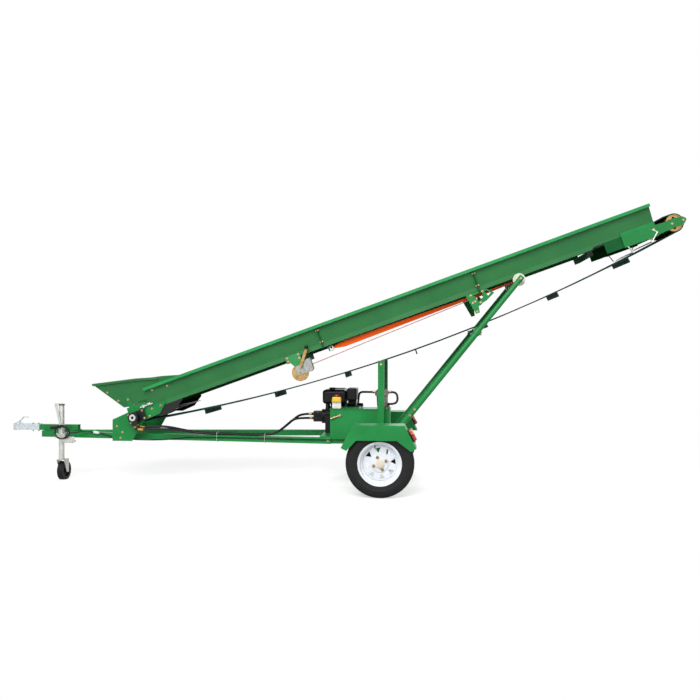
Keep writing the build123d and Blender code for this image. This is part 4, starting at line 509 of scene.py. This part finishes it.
FITTING_ENDS = on_boom([(56.0, -331.0, -104.0), (46.0, -355.0, -121.0)])
PUMP_PORTS = ((43.0, 580.0), (87.0, 540.0))
MOTOR_HOSE_R, FILTER_HOSE_R, LEAD_R = 10.0, 9.0, 4.5
for i, (start, across, port) in enumerate(zip(FITTING_ENDS, (11.0, -11.0), PUMP_PORTS)):
    path = smooth(hose_route(start, across, port))
    hose = put(f"motor_hose_{i + 1}", carried(path, circle(MOTOR_HOSE_R, 20)), hose_rubber)
    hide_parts("motor_hoses")
    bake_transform(hose)
    length = np.linalg.norm(np.diff(path, axis=0), axis=1).sum()
    print("motor hose", i + 1, round(length), "mm")

# %% [markdown]
# The filter's hoses and the lighting lead are made the same way. The lead starts as a loose coil hung on
# the jockey wheel's grip: its turns are points of the same spline, a little different in size so that
# they fan out. Then it follows the rail's side.

# %% Filter hoses and the lead
FILTER = (X_AXLE - 10.0, -190.0, 787.0)
fx, fy, fz = FILTER
behind_tank = [(fx - 72.3, fy, fz), (fx - 118, fy, fz), (fx - 186, fy + 40, fz - 2), (fx - 204, -67, fz - 42),
               (fx - 212, -67, fz - 147), (fx - 320, -67, fz - 185), (fx - 460, -67, fz - 193),
               (X_AXLE - 581, -47, 590), (X_AXLE - 581, 19.7, 590)]
back_loop = [(fx + 72.3, fy, fz), (fx + 106, fy, fz), (fx + 128, fy, fz - 20), (fx + 133, fy, fz - 70),
             (fx + 108, fy, fz - 100), (fx + 56, fy, fz - 100)]
hose_foot = turned([(0, 0), (9, 0), (9, 37), (6, 45), (0, 46)], 18)
filter_hoses = joined(carried(smooth(behind_tank), circle(FILTER_HOSE_R, 18), upright=(1.0, 0.0, 0.4)),
                      carried(smooth(back_loop), circle(FILTER_HOSE_R, 18), upright=ACROSS),
                      copies(hose_foot, [(fx + 56, fy, 653)], UP))
piece = put("filter_hoses", filter_hoses, hose_rubber, "frame")
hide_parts("supply_hoses")

JOCKEY = np.array([X_AXLE - 2815.0, -165.0])
COIL = np.array([JOCKEY[0] + 27.5, -231.0, 421.0])
COIL_TURNS, COIL_WIDE, COIL_HIGH = 4, 58.0, 52.0
wound = np.linspace(0, 2 * np.pi * COIL_TURNS, 14 * COIL_TURNS)
loose = 0.5 - 0.5 * np.cos(0.37 * wound)
slack = 0.5 - 0.5 * np.cos(0.61 * wound)
wander = np.stack([14 * loose + (COIL_WIDE + 12 * loose) * np.cos(wound), 5 * np.sin(0.6 * wound),
                   9 * slack + (COIL_HIGH + 9 * slack) * np.sin(wound)], -1)
# columns: x from the axle, how far off the rail's side, z
along_rail = [(-2610, 8, 428), (-2500, 4, 414), (-2400, 0, 388), (-2270, 2, 368), (-2100, 0, 360),
              (-1900, 1, 364), (-1740, 0, 382), (-1600, 2, 398), (-500, 6, 400)]
# columns: x from the axle, y, z
side_rail = [(-410, -331.5, 400), (-330, -305.5, 399), (-166, -306.5, 400)]
RAIL_SIDE = 25.1 + 4.8
lead_route = np.concatenate([
    COIL + wander,
    [(COIL[0] + 95, COIL[1] + 12, COIL[2] - 2)],
    [(X_AXLE + x, rail_y(x) - RAIL_SIDE - out, z) for x, out, z in along_rail],
    [(X_AXLE + x, y, z) for x, y, z in side_rail]])
lead = put("lighting_lead", carried(smooth(lead_route, 8), circle(LEAD_R, 12), upright=(0.0, 1.0, 0.35)),
           hose_rubber, "frame")
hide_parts("trailer_lead")
print("lead runs over", len(lead_route), "route points")

# %% [markdown]
# ## Tyres
#
# A tyre is a function of two parameters: the angle round the wheel and the place across its section. The
# section is a rounded loop, and the tread is a wave added to its radius: three grooves run round, bent into
# a zigzag, with cross cuts in the shoulders.

# %% Tyres with tread
BEAD_R, HALF_SECTION = 158.3, 62.5
GROOVE_DEPTH, GROOVE_HALF, GROOVE_LINES = 6.0, 2.6, (-22.0, 0.0, 22.0)
ZIGZAGS, ZIG_WIDE, CROSS_CUTS, SHOULDER_Y = 45, 3.0, 90, 31.0


def tyre_surface(turns=360, across=120):
    """Radius and width over (angle, section): a smooth loop, less groove depth where the tread is cut."""
    height = np.array([0.0, 0.17, 0.53, 0.81, 0.95, 1.0])
    half_width = np.array([0.80, 0.90, 1.0, 0.93, 0.74, 0.45])
    corner_r = BEAD_R + np.r_[height, height[::-1]] * (TYRE_R - BEAD_R)
    corner_y = HALF_SECTION * np.r_[half_width, -half_width[::-1]]
    run = np.r_[0, np.cumsum(np.hypot(np.diff(corner_r), np.diff(corner_y)))]
    s = np.linspace(0, run[-1], across)
    soften = np.ones(7) / 7
    r = np.convolve(np.pad(np.interp(s, run, corner_r), 3, "edge"), soften, "valid")
    y = np.convolve(np.pad(np.interp(s, run, corner_y), 3, "edge"), soften, "valid")
    a = np.linspace(0, 2 * np.pi, turns, endpoint=False)[:, None]
    zig = ZIG_WIDE * np.arcsin(np.sin(ZIGZAGS * a)) / (np.pi / 2)
    crown = np.clip((r - 250.0) / 8.0, 0, 1)
    grooves = np.max([np.exp(-((y - zig - line) / GROOVE_HALF) ** 4) for line in GROOVE_LINES], axis=0)
    shoulder = (np.abs(y) > SHOULDER_Y) * (np.sin(CROSS_CUTS * a) > 0.72)
    ribs = 1.2 * np.exp(-((r - 205.0) / 3.0) ** 2) + 1.0 * np.exp(-((r - 186.0) / 2.0) ** 2)
    radius = r - crown * GROOVE_DEPTH * np.maximum(grooves, 0.7 * shoulder)
    width = y + np.sign(y) * ribs + 0 * a
    return np.stack([radius * np.cos(a), radius * np.sin(a), width], -1)


points = tyre_surface()
rings, cols = points.shape[:2]
ahead, above, outward = np.moveaxis(points, -1, 0)
for name, side in SIDES:
    placed = np.stack([X_AXLE + ahead, side * (HALF_TRACK + outward), TYRE_R + above], -1)
    tyre = put(f"tyre_{name}_tread", (placed.reshape(-1, 3), grid_faces(rings, cols, True)), tyre_rubber,
               f"wheel_{name}", sharp=0.5)
    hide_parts(f"tyre_{name}")
    print("tyre", name, len(tyre.data.polygons), "faces")

# %% [markdown]
# ## Wheel fittings
#
# The rim's disc has four studs and a moulded hub cap. A hexagon nut is a turned profile with six sides, so
# the lathe helper makes nuts and bolt heads as well as round caps.

# %% Nuts, hub caps and valves
nut = turned([(4, 0), (12.5, 0), (12.5, 9), (10.5, 11.5), (8.2, 12), (8.2, 15), (0, 15.5)], 6)
dome = turned([(30.4, 0), (30.4, 17), (28.5, 21.5), (24, 23.6), (10, 24.4), (0, 24.6)], 48)
stem = turned([(0, 0), (6, 0), (6, 10), (4.2, 13), (4.2, 32), (3.2, 33), (3.2, 40), (0, 40.5)], 16)
STUD_CIRCLE_R, DISC_OUT = 50.8, 16.0
spots = np.radians(22.0 + 90 * np.arange(4))
for name, side in SIDES:
    out = np.array([0.0, side, 0.0])
    face = np.array([X_AXLE, side * (HALF_TRACK + DISC_OUT), TYRE_R])
    studs = face + STUD_CIRCLE_R * np.stack([np.cos(spots), 0 * spots, np.sin(spots)], -1)
    put(f"wheel_nuts_{name}", copies(nut, studs, out), brass, f"wheel_{name}", sharp=0.3)
    put(f"hub_cap_{name}", copies(dome, [face - 2 * out], out), cream_cap, f"wheel_{name}")
    valve_at = face + np.array([-38.0, 0.0, 138.0]) - 14 * out
    put(f"valve_stem_{name}", copies(stem, [valve_at], out + [0.0, 0.0, -0.35]), black_abs, f"wheel_{name}")
print(len(spots), "nuts a wheel on a", 2 * STUD_CIRCLE_R, "mm circle")

# %% [markdown]
# ## Bolts
#
# The trough's lengths, the hopper, the arms and the hangers are bolted. One head with its washer is copied to
# every place in a table, each along the outward direction of the sheet it sits on.

# %% Bolt heads
washer = turned([(0, 0), (9.5, 0), (9.5, 1.6), (0, 1.6)], 28)
bolt = joined(washer, turned([(0, 1.6), (7.5, 1.6), (7.5, 5.8), (6.3, 6.9), (0, 6.9)], 6))
nut_end = joined(washer, turned([(0, 1.6), (7.5, 1.6), (7.5, 8), (4, 8.4), (4, 13), (0, 13.4)], 6))


def on_wall(u, v, out):
    """Boom points on the near wall at (u, v), a distance out of its outer face."""
    u, v = np.broadcast_arrays(np.asarray(u, float), np.asarray(v, float))
    return on_boom(np.stack([u, -flare_y(v) - out, v], -1))


JOINT_U, JOINT_V, FLANGE_T = np.array([[1698.6], [3053.6]]), np.array([62.0, 164.0]), 12.4
joint_fronts = on_wall(JOINT_U, JOINT_V, 12).reshape(-1, 3)
joint_backs = on_wall(JOINT_U + FLANGE_T, JOINT_V, 12).reshape(-1, 3)
put("splice_bolts", both_sides(bolt, joint_fronts, -ALONG), bolt_zinc, "boom", 0.3)
put("splice_nuts", both_sides(nut_end, joint_backs, ALONG), bolt_zinc, "boom", 0.3)

wall = np.concatenate([on_wall((210, 345), (168, 160), 0), on_wall((-218, -158, -98), (372, 277, 180), -3.0),
                       on_wall([-15], [160], 2.2)])
put("trough_bolts", both_sides(bolt, wall, FLARE_OUT), bolt_zinc, "boom", 0.3)

# columns: u, y, v
BOOM_BOLTS = np.array([
    (4508, -286, 4), (4654, -286, -3), (4744, -286, -5), (150, -278, 20), (230, -278, 22),
    (110, -278, -30), (2985, -268, 4), (3085, -268, 6), (2981, -268, -57),
    (3003, -268, -54), (3042, -268, -76), (2991, -268, -136)], float)
NEAR_BOLTS = np.array([(1385, -276, 32), (1487, -276, 32), (1385, -276, 2), (1487, -276, 2), (-50, -313, 34),
                       (-50, -313, -34), (76, -313, 34), (76, -313, -34)], float)
put("boom_bolts", joined(both_sides(bolt, on_boom(BOOM_BOLTS), NEAR),
                         copies(bolt, on_boom(NEAR_BOLTS), NEAR)), bolt_zinc, "boom", 0.3)

# columns: x from the axle, y, z
FRAME_BOLTS = np.array([(-8.5, -350, 1020), (-8.5, -350, 536), (-445, -327.5, 391), (-2207, -297, 441),
                        (-2255, -297, 489), (-2225, -297, 391)], float) + [X_AXLE, 0, 0]
put("frame_bolts", both_sides(bolt, FRAME_BOLTS, NEAR), bolt_zinc, "frame", 0.3)
print("bolts:", 2 * (len(joint_fronts) + len(wall) + len(BOOM_BOLTS) + len(FRAME_BOLTS)) + len(NEAR_BOLTS))

# %% [markdown]
# The coupling is held by two through bolts with brass-coloured plating, and the strut legs by a pin at the
# foot, two clamp bolts and a nut on each end of the roller axle. Each leg slides in a sleeve that ends in
# a clamp.

# %% Coupling and strut fasteners
BACK = X_AXLE - 3095.0
coupling_x = np.array([BACK - 72.0, BACK - 20.0])
COUPLING_TOP, COUPLING_DEEP = 476.0, 55.0
tops = np.stack([coupling_x, 0 * coupling_x, 0 * coupling_x + COUPLING_TOP], -1)
put("coupling_bolts", joined(copies(bolt, tops, UP), copies(nut_end, tops - COUPLING_DEEP * UP, -UP)),
    brass, "frame", 0.3)
put("clamp_bolt", copies(bolt, [(JOCKEY[0] - 33, -199, 391)], NEAR), brass, "frame", 0.3)
# the direction up a leg, and its foot
RISE = np.array([0.62636, 0.0, 0.77953])
FOOT = np.array([X_AXLE + 98.0, 0.0, 452.0])
LEG_LEN, LEG_Y, PIN_Y = 1608.08, 348.0, 386.0
# columns: how far up the leg, y of the face
LEG_BOLTS = np.array([(203.0, -372.5), (265.0, -372.5), (LEG_LEN, -378.0)])
strut_set = FOOT + LEG_BOLTS[:, :1] * RISE + LEG_BOLTS[:, 1:] * ACROSS
put("strut_bolts", both_sides(bolt, strut_set, NEAR), bolt_zinc, "strut", 0.3)
SQUARE = np.array([-RISE[2], 0.0, RISE[0]])
sleeve = turned([(20.8, 0), (25, 0), (25, 408), (20.8, 408), (20.8, 0)], 48)
clamp = turned([(20.8, 0), (29.5, 0), (31, 1.5), (31, 42.5), (29.5, 44), (20.8, 44), (20.8, 0)], 48)
legs = LEG_Y * np.array([NEAR, -NEAR])
SLEEVE_FROM, CLAMP_FROM, CLAMP_BOLT, CLAMP_R = 638, 1044, 1066, 30.5
put("strut_sleeves", joined(copies(sleeve, FOOT + SLEEVE_FROM * RISE + legs, RISE),
                            copies(clamp, FOOT + CLAMP_FROM * RISE + legs, RISE)), green_enamel, "strut", 0.5)
clamp_at = FOOT + CLAMP_BOLT * RISE + legs
put("sleeve_bolts", joined(copies(nut_end, clamp_at + CLAMP_R * SQUARE, SQUARE),
                           copies(nut_end, clamp_at - CLAMP_R * SQUARE, -SQUARE)), bolt_zinc, "strut", 0.3)
put("foot_pin_heads", both_sides(bolt, [FOOT + PIN_Y * NEAR], NEAR), bolt_zinc, "frame", 0.3)
print("strut leg", round(LEG_LEN), "mm")

# %% [markdown]
# ## Stay strap and winch rope
#
# The strap is flat webbing, gathered where it meets its ring: its half width grows from the gather to full
# width, and ripples in its thickness show the folds. It stands on edge there and turns by 65 degrees on its
# way to the roller axle, where it lies nearly flat. The rope is laid from three strands: each strand is a
# helix round the rope's line. Both shorten when the boom is raised.

# %% Strap
STRAP_RUN, STRAP_Y, STRAP_V = (1783.3, 3380.7), -231.0, -11.0
GATHER = 90.0
STATIONS = (STRAP_RUN[0], STRAP_RUN[0] + GATHER, STRAP_RUN[1])
u = np.linspace(*STRAP_RUN, 400)[:, None]
gathered = 1 - np.clip((u - STRAP_RUN[0]) / GATHER, 0, 1)
half = np.interp(u, STATIONS, (9.0, 25.0, 9.0))
middle = np.interp(u, STATIONS, (STRAP_V, -12.0, -8.0))
beside = np.interp(u, STATIONS, (STRAP_Y, STRAP_Y, -227.5))
lean = np.radians(np.interp(u, STATIONS, (0.0, 0.0, 65.0)))
t = np.linspace(0, 2 * np.pi, 40, endpoint=False)
edge = swell(np.cos(t), 0.6)
thick = 1.5 * swell(np.sin(t), 0.3) + gathered * 1.6 * np.sin(3 * np.pi * edge)
wide = half * edge
points = np.stack([np.broadcast_to(u, wide.shape),
                   beside + thick * np.cos(lean) - wide * np.sin(lean),
                   middle + wide * np.cos(lean) + thick * np.sin(lean)], -1)
closed = np.concatenate([points[:1].mean(1, keepdims=True) + 0 * points[:1], points,
                         points[-1:].mean(1, keepdims=True) + 0 * points[-1:]])
band_shape = on_boom(closed.reshape(-1, 3)), grid_faces(len(closed), len(t))
strap = put("stay_webbing", band_shape, webbing, "boom")
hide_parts("stay_strap")
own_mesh(strap)
print("strap", round(STRAP_RUN[1] - STRAP_RUN[0]), "mm long")

# %% Rope
ROPE_FROM, ROPE_TO = np.array([1568.0, -212.0, -81.0]), np.array([3380.7, -212.0, -8.0])
length = np.linalg.norm(ROPE_TO - ROPE_FROM)
LAY, STRAND_OFF, STRAND_R = 34.0, 2.0, 1.95
share = np.linspace(0, 1, 900)
core = ROPE_FROM + share[:, None] * (ROPE_TO - ROPE_FROM)
strands = []
for phase in 2 * np.pi * np.arange(3) / 3:
    angle = phase + 2 * np.pi * share * length / LAY
    helix = core + STRAND_OFF * np.stack([0 * share, np.cos(angle), np.sin(angle)], -1)
    strands.append(carried(on_boom(helix), circle(STRAND_R, 8)))
rope = put("winch_rope_strands", joined(*strands), rope_fibre, "boom")
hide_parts("winch_rope")
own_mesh(rope)
print("rope", round(length), "mm long")

# %% [markdown]
# ## Tail lamps
#
# Each lamp has a black tray on the slope of the mudguard and two lenses, amber above and red below. A lens is
# a pillow: rings of a rounded square, sign(cos t) |cos t|^0.25 by sign(sin t) |sin t|^0.25, that climb
# straight and then draw in along a small arc, which gives a flat top with rounded shoulders.


# %% Lamps
def pillow(centre, half_a, half_b, height, dir_a, dir_b, dir_up, fine=24):
    """Closed pillow: edges run round a rounded square, and rings climb from the base to the top."""
    t = np.linspace(0, 2 * np.pi, 4 * fine, endpoint=False)
    square = np.stack([swell(np.cos(t), 0.25), swell(np.sin(t), 0.25)], -1)
    rise = np.linspace(0, 1, 10)
    shoulder = np.maximum((rise - 0.6) / 0.4, 0)
    shrink = np.r_[0, np.sqrt(1 - 0.19 * shoulder ** 2), 0]
    lift = np.r_[0, rise, 1]
    flat = shrink[:, None, None] * square
    reach = half_a * flat[..., :1] * dir_a + half_b * flat[..., 1:] * dir_b
    points = np.asarray(centre, float) + reach + lift[:, None, None] * height * dir_up
    return points.reshape(-1, 3), grid_faces(len(lift), 4 * fine)


SLOPE_TOP, SLOPE_FOOT = np.array([X_AXLE + 189.0, 563.0]), np.array([X_AXLE + 281.0, 389.0])
down = (SLOPE_FOOT - SLOPE_TOP) / np.linalg.norm(SLOPE_FOOT - SLOPE_TOP)
DOWN = np.array([down[0], 0.0, down[1]])
OUT = np.array([-down[1], 0.0, down[0]])
LAMP_Y, TRAY_DEEP = 652.5, 13.0
# distances down the slope
TRAY_AT, AMBER_AT, RED_AT = 97.0, 73.0, 121.0
for name, side in SIDES:
    start = np.array([SLOPE_TOP[0], side * LAMP_Y, SLOPE_TOP[1]])
    tray = pillow(start + TRAY_AT * DOWN, 49.0, 57.5, 14.0, DOWN, ACROSS, OUT)
    amber = pillow(start + AMBER_AT * DOWN + TRAY_DEEP * OUT, 22.5, 53.0, 20.0, DOWN, ACROSS, OUT)
    red = pillow(start + RED_AT * DOWN + TRAY_DEEP * OUT, 22.5, 53.0, 20.0, DOWN, ACROSS, OUT)
    base = put(f"lamp_tray_{name}", tray, black_abs, "frame")
    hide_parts("tail_lamps")
    put(f"lamp_amber_{name}", amber, amber_lens, "frame")
    put(f"lamp_red_{name}", red, red_lens, "frame")
print("two lenses a lamp")

# %% [markdown]
# ## Controls and small fittings
#
# Turned pieces again: the winch's ball knob, the jockey wheel's cap and ribbed grip, the plated ring of
# the motor and the strap's ring.

# %% Knobs, caps and rings
ball = np.linspace(-np.pi / 2, np.pi / 2, 14)
KNOB_R = 16.6
knob = turned(KNOB_R * np.stack([np.cos(ball), np.sin(ball)], -1), 32)
put("crank_knob", copies(knob, on_boom([(1577, -324, 62)]), NEAR), black_abs, "boom")

cap = turned([(0, 0), (26.6, 0), (26.6, 9), (24, 12), (8, 13), (0, 13)], 40)
put("jockey_cap", copies(cap, [(JOCKEY[0], JOCKEY[1], 655)], UP), black_abs, "frame")
GRIP_R, RIB_HIGH, RIB_PITCH = 12.2, 0.9, 8.0
z = np.linspace(-2, 90, 120)
grip_profile = np.stack([GRIP_R + RIB_HIGH * np.cos(2 * np.pi * z / RIB_PITCH), z], -1)
grip = turned(np.concatenate([[(0, z[0])], grip_profile, [(0, z[-1])]]), 28)
GRIP_FROM, GRIP_TO = np.array([JOCKEY[0] + 12, -204.5, 471]), np.array([JOCKEY[0] - 76, -204.5, 461])
put("crank_grip", copies(grip, [GRIP_FROM], GRIP_TO - GRIP_FROM), black_abs, "frame")

motor_ring = turned([(12.6, 0), (27.6, 0), (27.6, 5.6), (12.6, 5.6), (12.6, 0)], 48)
put("motor_ring", copies(motor_ring, on_boom([(0, -369, 0)]), NEAR), bright_zinc, "boom")
RING_AT, RING_R, RING_WIRE_R = np.array([1760.0, STRAP_Y, STRAP_V]), 19.0, 4.4
t = np.linspace(0, 2 * np.pi, 48, endpoint=False)
ring = on_boom(RING_AT + RING_R * np.stack([np.cos(t), 0 * t, np.sin(t)], -1))
put("strap_ring", carried(ring, circle(RING_WIRE_R, 14), upright=ACROSS, closed=True), bright_zinc, "boom")
print("knobs and rings placed")

# %% [markdown]
# A hose ends in a plated ferrule and a hexagon collar. The motor's pair sits on two elbows, so each takes the
# direction of its own hose.

# %% Hose ends
ferrule = turned([(0, -6), (11.6, -6), (11.6, 26), (10.6, 28), (0, 28)], 32)
collar = turned([(0, 0), (13.5, 0), (13.5, 15), (0, 15)], 6)
FITTING_ELBOWS = on_boom([(8.0, -331.0, -88.0), (-12.0, -355.0, -100.0)])
fitting_way = FITTING_ENDS - FITTING_ELBOWS
near_end = FITTING_ELBOWS + 0.35 * fitting_way
fitting_way = fitting_way / np.linalg.norm(fitting_way, axis=1, keepdims=True)
put("motor_fittings", joined(copies(collar, near_end, fitting_way),
                             copies(ferrule, FITTING_ENDS - 22 * fitting_way, fitting_way),
                             copies(collar, FITTING_ELBOWS + 12 * ABOVE, ABOVE)), brass, "boom", 0.3)
ports = np.array([(X_AXLE - 635.0, y, z) for y, z in PUMP_PORTS])
put("pump_fittings", joined(copies(ferrule, ports + 2 * EAST, -EAST), copies(collar, ports + 4 * EAST, EAST)),
    brass, "frame", 0.3)
filter_ends = np.array([(fx - 60, fy, fz), (fx + 60, fy, fz), (fx + 56, fy, 655)])
put("filter_fittings", copies(collar, filter_ends, np.array([-EAST, EAST, UP])), brass, "frame", 0.3)
print("hose ends:", len(FITTING_ENDS) + len(ports) + len(filter_ends))

# %% [markdown]
# The stop switch stands on the tank's tab: a white plate, a yellow box and a red mushroom button.

# %% Stop switch on the tank's tab
SWITCH = np.array([X_AXLE - 377.5, -291.0, 0.0])
PLATE_Z, BOX_Z, BUTTON_Z = 684.5, 712.0, 749.0
plate = pillow(SWITCH + PLATE_Z * UP, 36.5, 29.5, 2.2, EAST, UP, NEAR)
housing = pillow(SWITCH + BOX_Z * UP, 37.5, 21.0, 37.0, EAST, ACROSS, UP)
mushroom = turned([(0, 0), (11, 0), (11, 6), (17, 8), (18.5, 12), (17.5, 16), (12, 20), (0, 21)], 40)
put("switch_plate", plate, tie_nylon, "frame")
put("switch_box", housing, yellow_abs, "frame")
put("switch_button", copies(mushroom, [SWITCH + BUTTON_Z * UP], UP), red_abs, "frame")
print("switch on the tank's tab")

# %% [markdown]
# The filler's knob has ridges round its rim, and the lever's handle is thicker than its stem. Open tubes are
# closed with enamelled caps on the frame and black plugs in two of the boom's cross members.

# %% Filler knob, tank lever, jockey bracket and tube caps
ridge = 24.0 + 1.0 * np.cos(2 * np.pi * np.arange(9) / 2)
knob_profile = [(0, 0), (20, 0), *zip(ridge, np.linspace(1, 11, 9)), (20, 14.5), (0, 16)]
FILLER_AT = (X_AXLE - 190, -180, 678.5)
put("filler_knob", copies(turned(knob_profile, 48), [FILLER_AT], UP), black_abs, "frame")

lever_from = np.array([X_AXLE - 349, -300, 599])
lever_to = np.array([X_AXLE - 427, -306, 571])
share = np.linspace(0, 1, 24)
lever_path = lever_from + share[:, None] * (lever_to - lever_from)
lever = carried(lever_path, circle(1.0, 16), np.interp(share, (0, 0.45, 0.5, 1), (4.6, 5.0, 8.0, 7.2)))
boss = turned([(0, 0), (12.5, 0), (12.5, 13), (10, 15), (0, 15)], 6)
put("tank_lever", joined(lever, copies(boss, [(X_AXLE - 349, -292, 599)], NEAR)), bolt_zinc, "frame", 0.4)

hanger = pillow((JOCKEY[0] + 80, -199, 358), 54.0, 27.0, 6.0, EAST, UP, NEAR)
stud = turned([(0, 0), (6, 0), (6, 60), (0, 60)], 20)
STUD_AT = (JOCKEY[0] + 117, -205, 342)
put("jockey_bracket", joined(hanger, copies(stud, [STUD_AT], -NEAR), copies(nut_end, [STUD_AT], NEAR)),
    bright_zinc, "frame", 0.3)

# columns: x from the axle, y of the tube's end, z of its middle
TUBE_ENDS = np.array([(-2255, -297, 441), (-445, -325, 391), (98, -388, 391)], float) + [X_AXLE, 0, 0]
caps = [pillow(spot * [1, side, 1], 24.5, 24.5, 2.5, EAST, UP, side * NEAR)
        for spot in TUBE_ENDS for side in (1, -1)]
put("tube_caps", joined(*caps), green_enamel, "frame")
member_ends = on_boom([(along, side * 260.0, -4.5) for along in (1510.0, 3990.0) for side in (-1, 1)])
plugs = [pillow(spot, 19.5, 22.0, 3.0, ALONG, ABOVE, np.sign(spot[1]) * ACROSS) for spot in member_ends]
put("member_plugs", joined(*plugs), black_abs, "boom")
print("caps on", len(caps) + len(plugs), "tube ends")

# %% [markdown]
# ## Cable ties and the lead's connector
#
# White ties hold the hoses to the rail. A tie is a thin band carried round a rounded rectangle that encloses
# the rail and the hoses on it.

# %% Ties and connector
band = np.array([(-2.4, -0.7), (2.4, -0.7), (2.4, 0.7), (-2.4, 0.7)])
t = np.linspace(0, 2 * np.pi, 80, endpoint=False)
loop_y, loop_z = swell(np.cos(t), 0.35), swell(np.sin(t), 0.35)
TIE_HALF_Y = 36.5
ties = []
# columns: x from the axle, middle height, half height
for x, middle_z, half_z in ((-2355.0, 390.5, 27.5), (-1405.0, 401.0, 37.5), (-985.0, 401.0, 37.5)):
    centre = np.array([X_AXLE + x, rail_y(x), middle_z])
    path = centre + np.stack([0 * t, TIE_HALF_Y * loop_y, half_z * loop_z], -1)
    ties.append(carried(path, band, upright=EAST, closed=True))
put("hose_ties", joined(*ties), tie_nylon, "frame")
plug = turned([(0, 0), (7, 0), (9, 6), (13, 10), (13, 44), (10, 50), (6, 62), (0, 62)], 28)
PLUG_X = -2545.0
plug_at = (X_AXLE + PLUG_X, rail_y(PLUG_X) - 36.0, 421.0)
put("lead_connector", copies(plug, [plug_at], (1.0, -0.1, -0.14)), tie_nylon, "frame")
print("ties:", len(ties))

# %% [markdown]
# ## Floor and light
#
# A pale floor carries the shadow and fades into a white surround, so no horizon shows. The light is soft and
# even: a large lamp above the camera, a weak one from the head end, one from behind for the far side, and the
# surround itself.

# %% Studio
bpy.context.scene.view_settings.view_transform = "Standard"
world = bpy.data.worlds.new("white_studio")
bpy.context.scene.world = world
world.use_nodes = True
tree = world.node_tree
tree.nodes.clear()
rays = node(tree, "ShaderNodeLightPath")
seen = node(tree, "ShaderNodeMath", {0: rays.outputs["Is Camera Ray"], 1: rays.outputs["Is Glossy Ray"]},
            operation="MAXIMUM")
seen_all = node(tree, "ShaderNodeMath", {0: seen.outputs["Value"], 1: rays.outputs["Is Transmission Ray"]},
                operation="MAXIMUM")
strength = node(tree, "ShaderNodeMapRange",
                {"Value": seen_all.outputs["Value"], "To Min": 0.25, "To Max": 1.0})
surround = node(tree, "ShaderNodeBackground",
                {"Color": (1.0, 1.0, 1.0, 1.0), "Strength": strength.outputs["Result"]})
node(tree, "ShaderNodeOutputWorld", {"Surface": surround.outputs["Background"]})

paper, tree, surface, place = blank("studio_paper")
path_rays = node(tree, "ShaderNodeLightPath")
glow = node(tree, "ShaderNodeMath", {0: path_rays.outputs["Is Camera Ray"], 1: 0.5}, operation="MULTIPLY")
fill(tree, surface, {"Base Color": (0.7, 0.7, 0.7, 1.0), "Roughness": 0.9,
                     "Emission Color": (1.0, 1.0, 1.0, 1.0), "Emission Strength": glow.outputs["Value"]})
FADE_X, FADE_Y = 4.6, 2.6
stretch = node(tree, "ShaderNodeMapping", {"Vector": place, "Scale": (1 / FADE_X, 1 / FADE_Y, 1.0)})
reach = node(tree, "ShaderNodeVectorMath", {0: stretch.outputs["Vector"]}, operation="LENGTH")
fade = node(tree, "ShaderNodeMapRange", {"Value": reach.outputs["Value"], "From Min": 0.45, "From Max": 1.0},
            interpolation_type="SMOOTHSTEP")
clear = node(tree, "ShaderNodeBsdfTransparent")
blend = node(tree, "ShaderNodeMixShader", {0: fade.outputs["Result"], 1: surface.outputs["BSDF"],
                                           2: clear.outputs["BSDF"]})
tree.links.new(blend.outputs["Shader"], tree.nodes["Material Output"].inputs["Surface"])
ground = bpy.data.meshes.new("floor")
ground.from_pydata([(-6, -4, 0), (6, -4, 0), (6, 4, 0), (-6, 4, 0)], [], [(0, 1, 2, 3)])
ground.materials.append(paper)
floor = bpy.data.objects.new("floor", ground)
bpy.context.scene.collection.objects.link(floor)

# columns: name, place, size, power, aim
for name, where, size, power, aim in (("key", (-0.8, -5.3, 4.6), 4.5, 440.0, (0.3, 0.0, 0.9)),
                                      ("fill", (6.0, -5.5, 3.0), 3.0, 60.0, (0.5, 0.0, 1.0)),
                                      ("back", (1.5, 6.0, 5.0), 4.0, 260.0, (0.3, 0.0, 0.9))):
    lamp = bpy.data.lights.new(name, "AREA")
    lamp.size, lamp.energy = size, power
    holder = bpy.data.objects.new(name, lamp)
    holder.location = where
    facing = aimed(np.array(where) - np.array(aim))
    holder.rotation_euler = Matrix(facing.T.tolist()).to_euler()
    bpy.context.scene.collection.objects.link(holder)
print("studio ready")
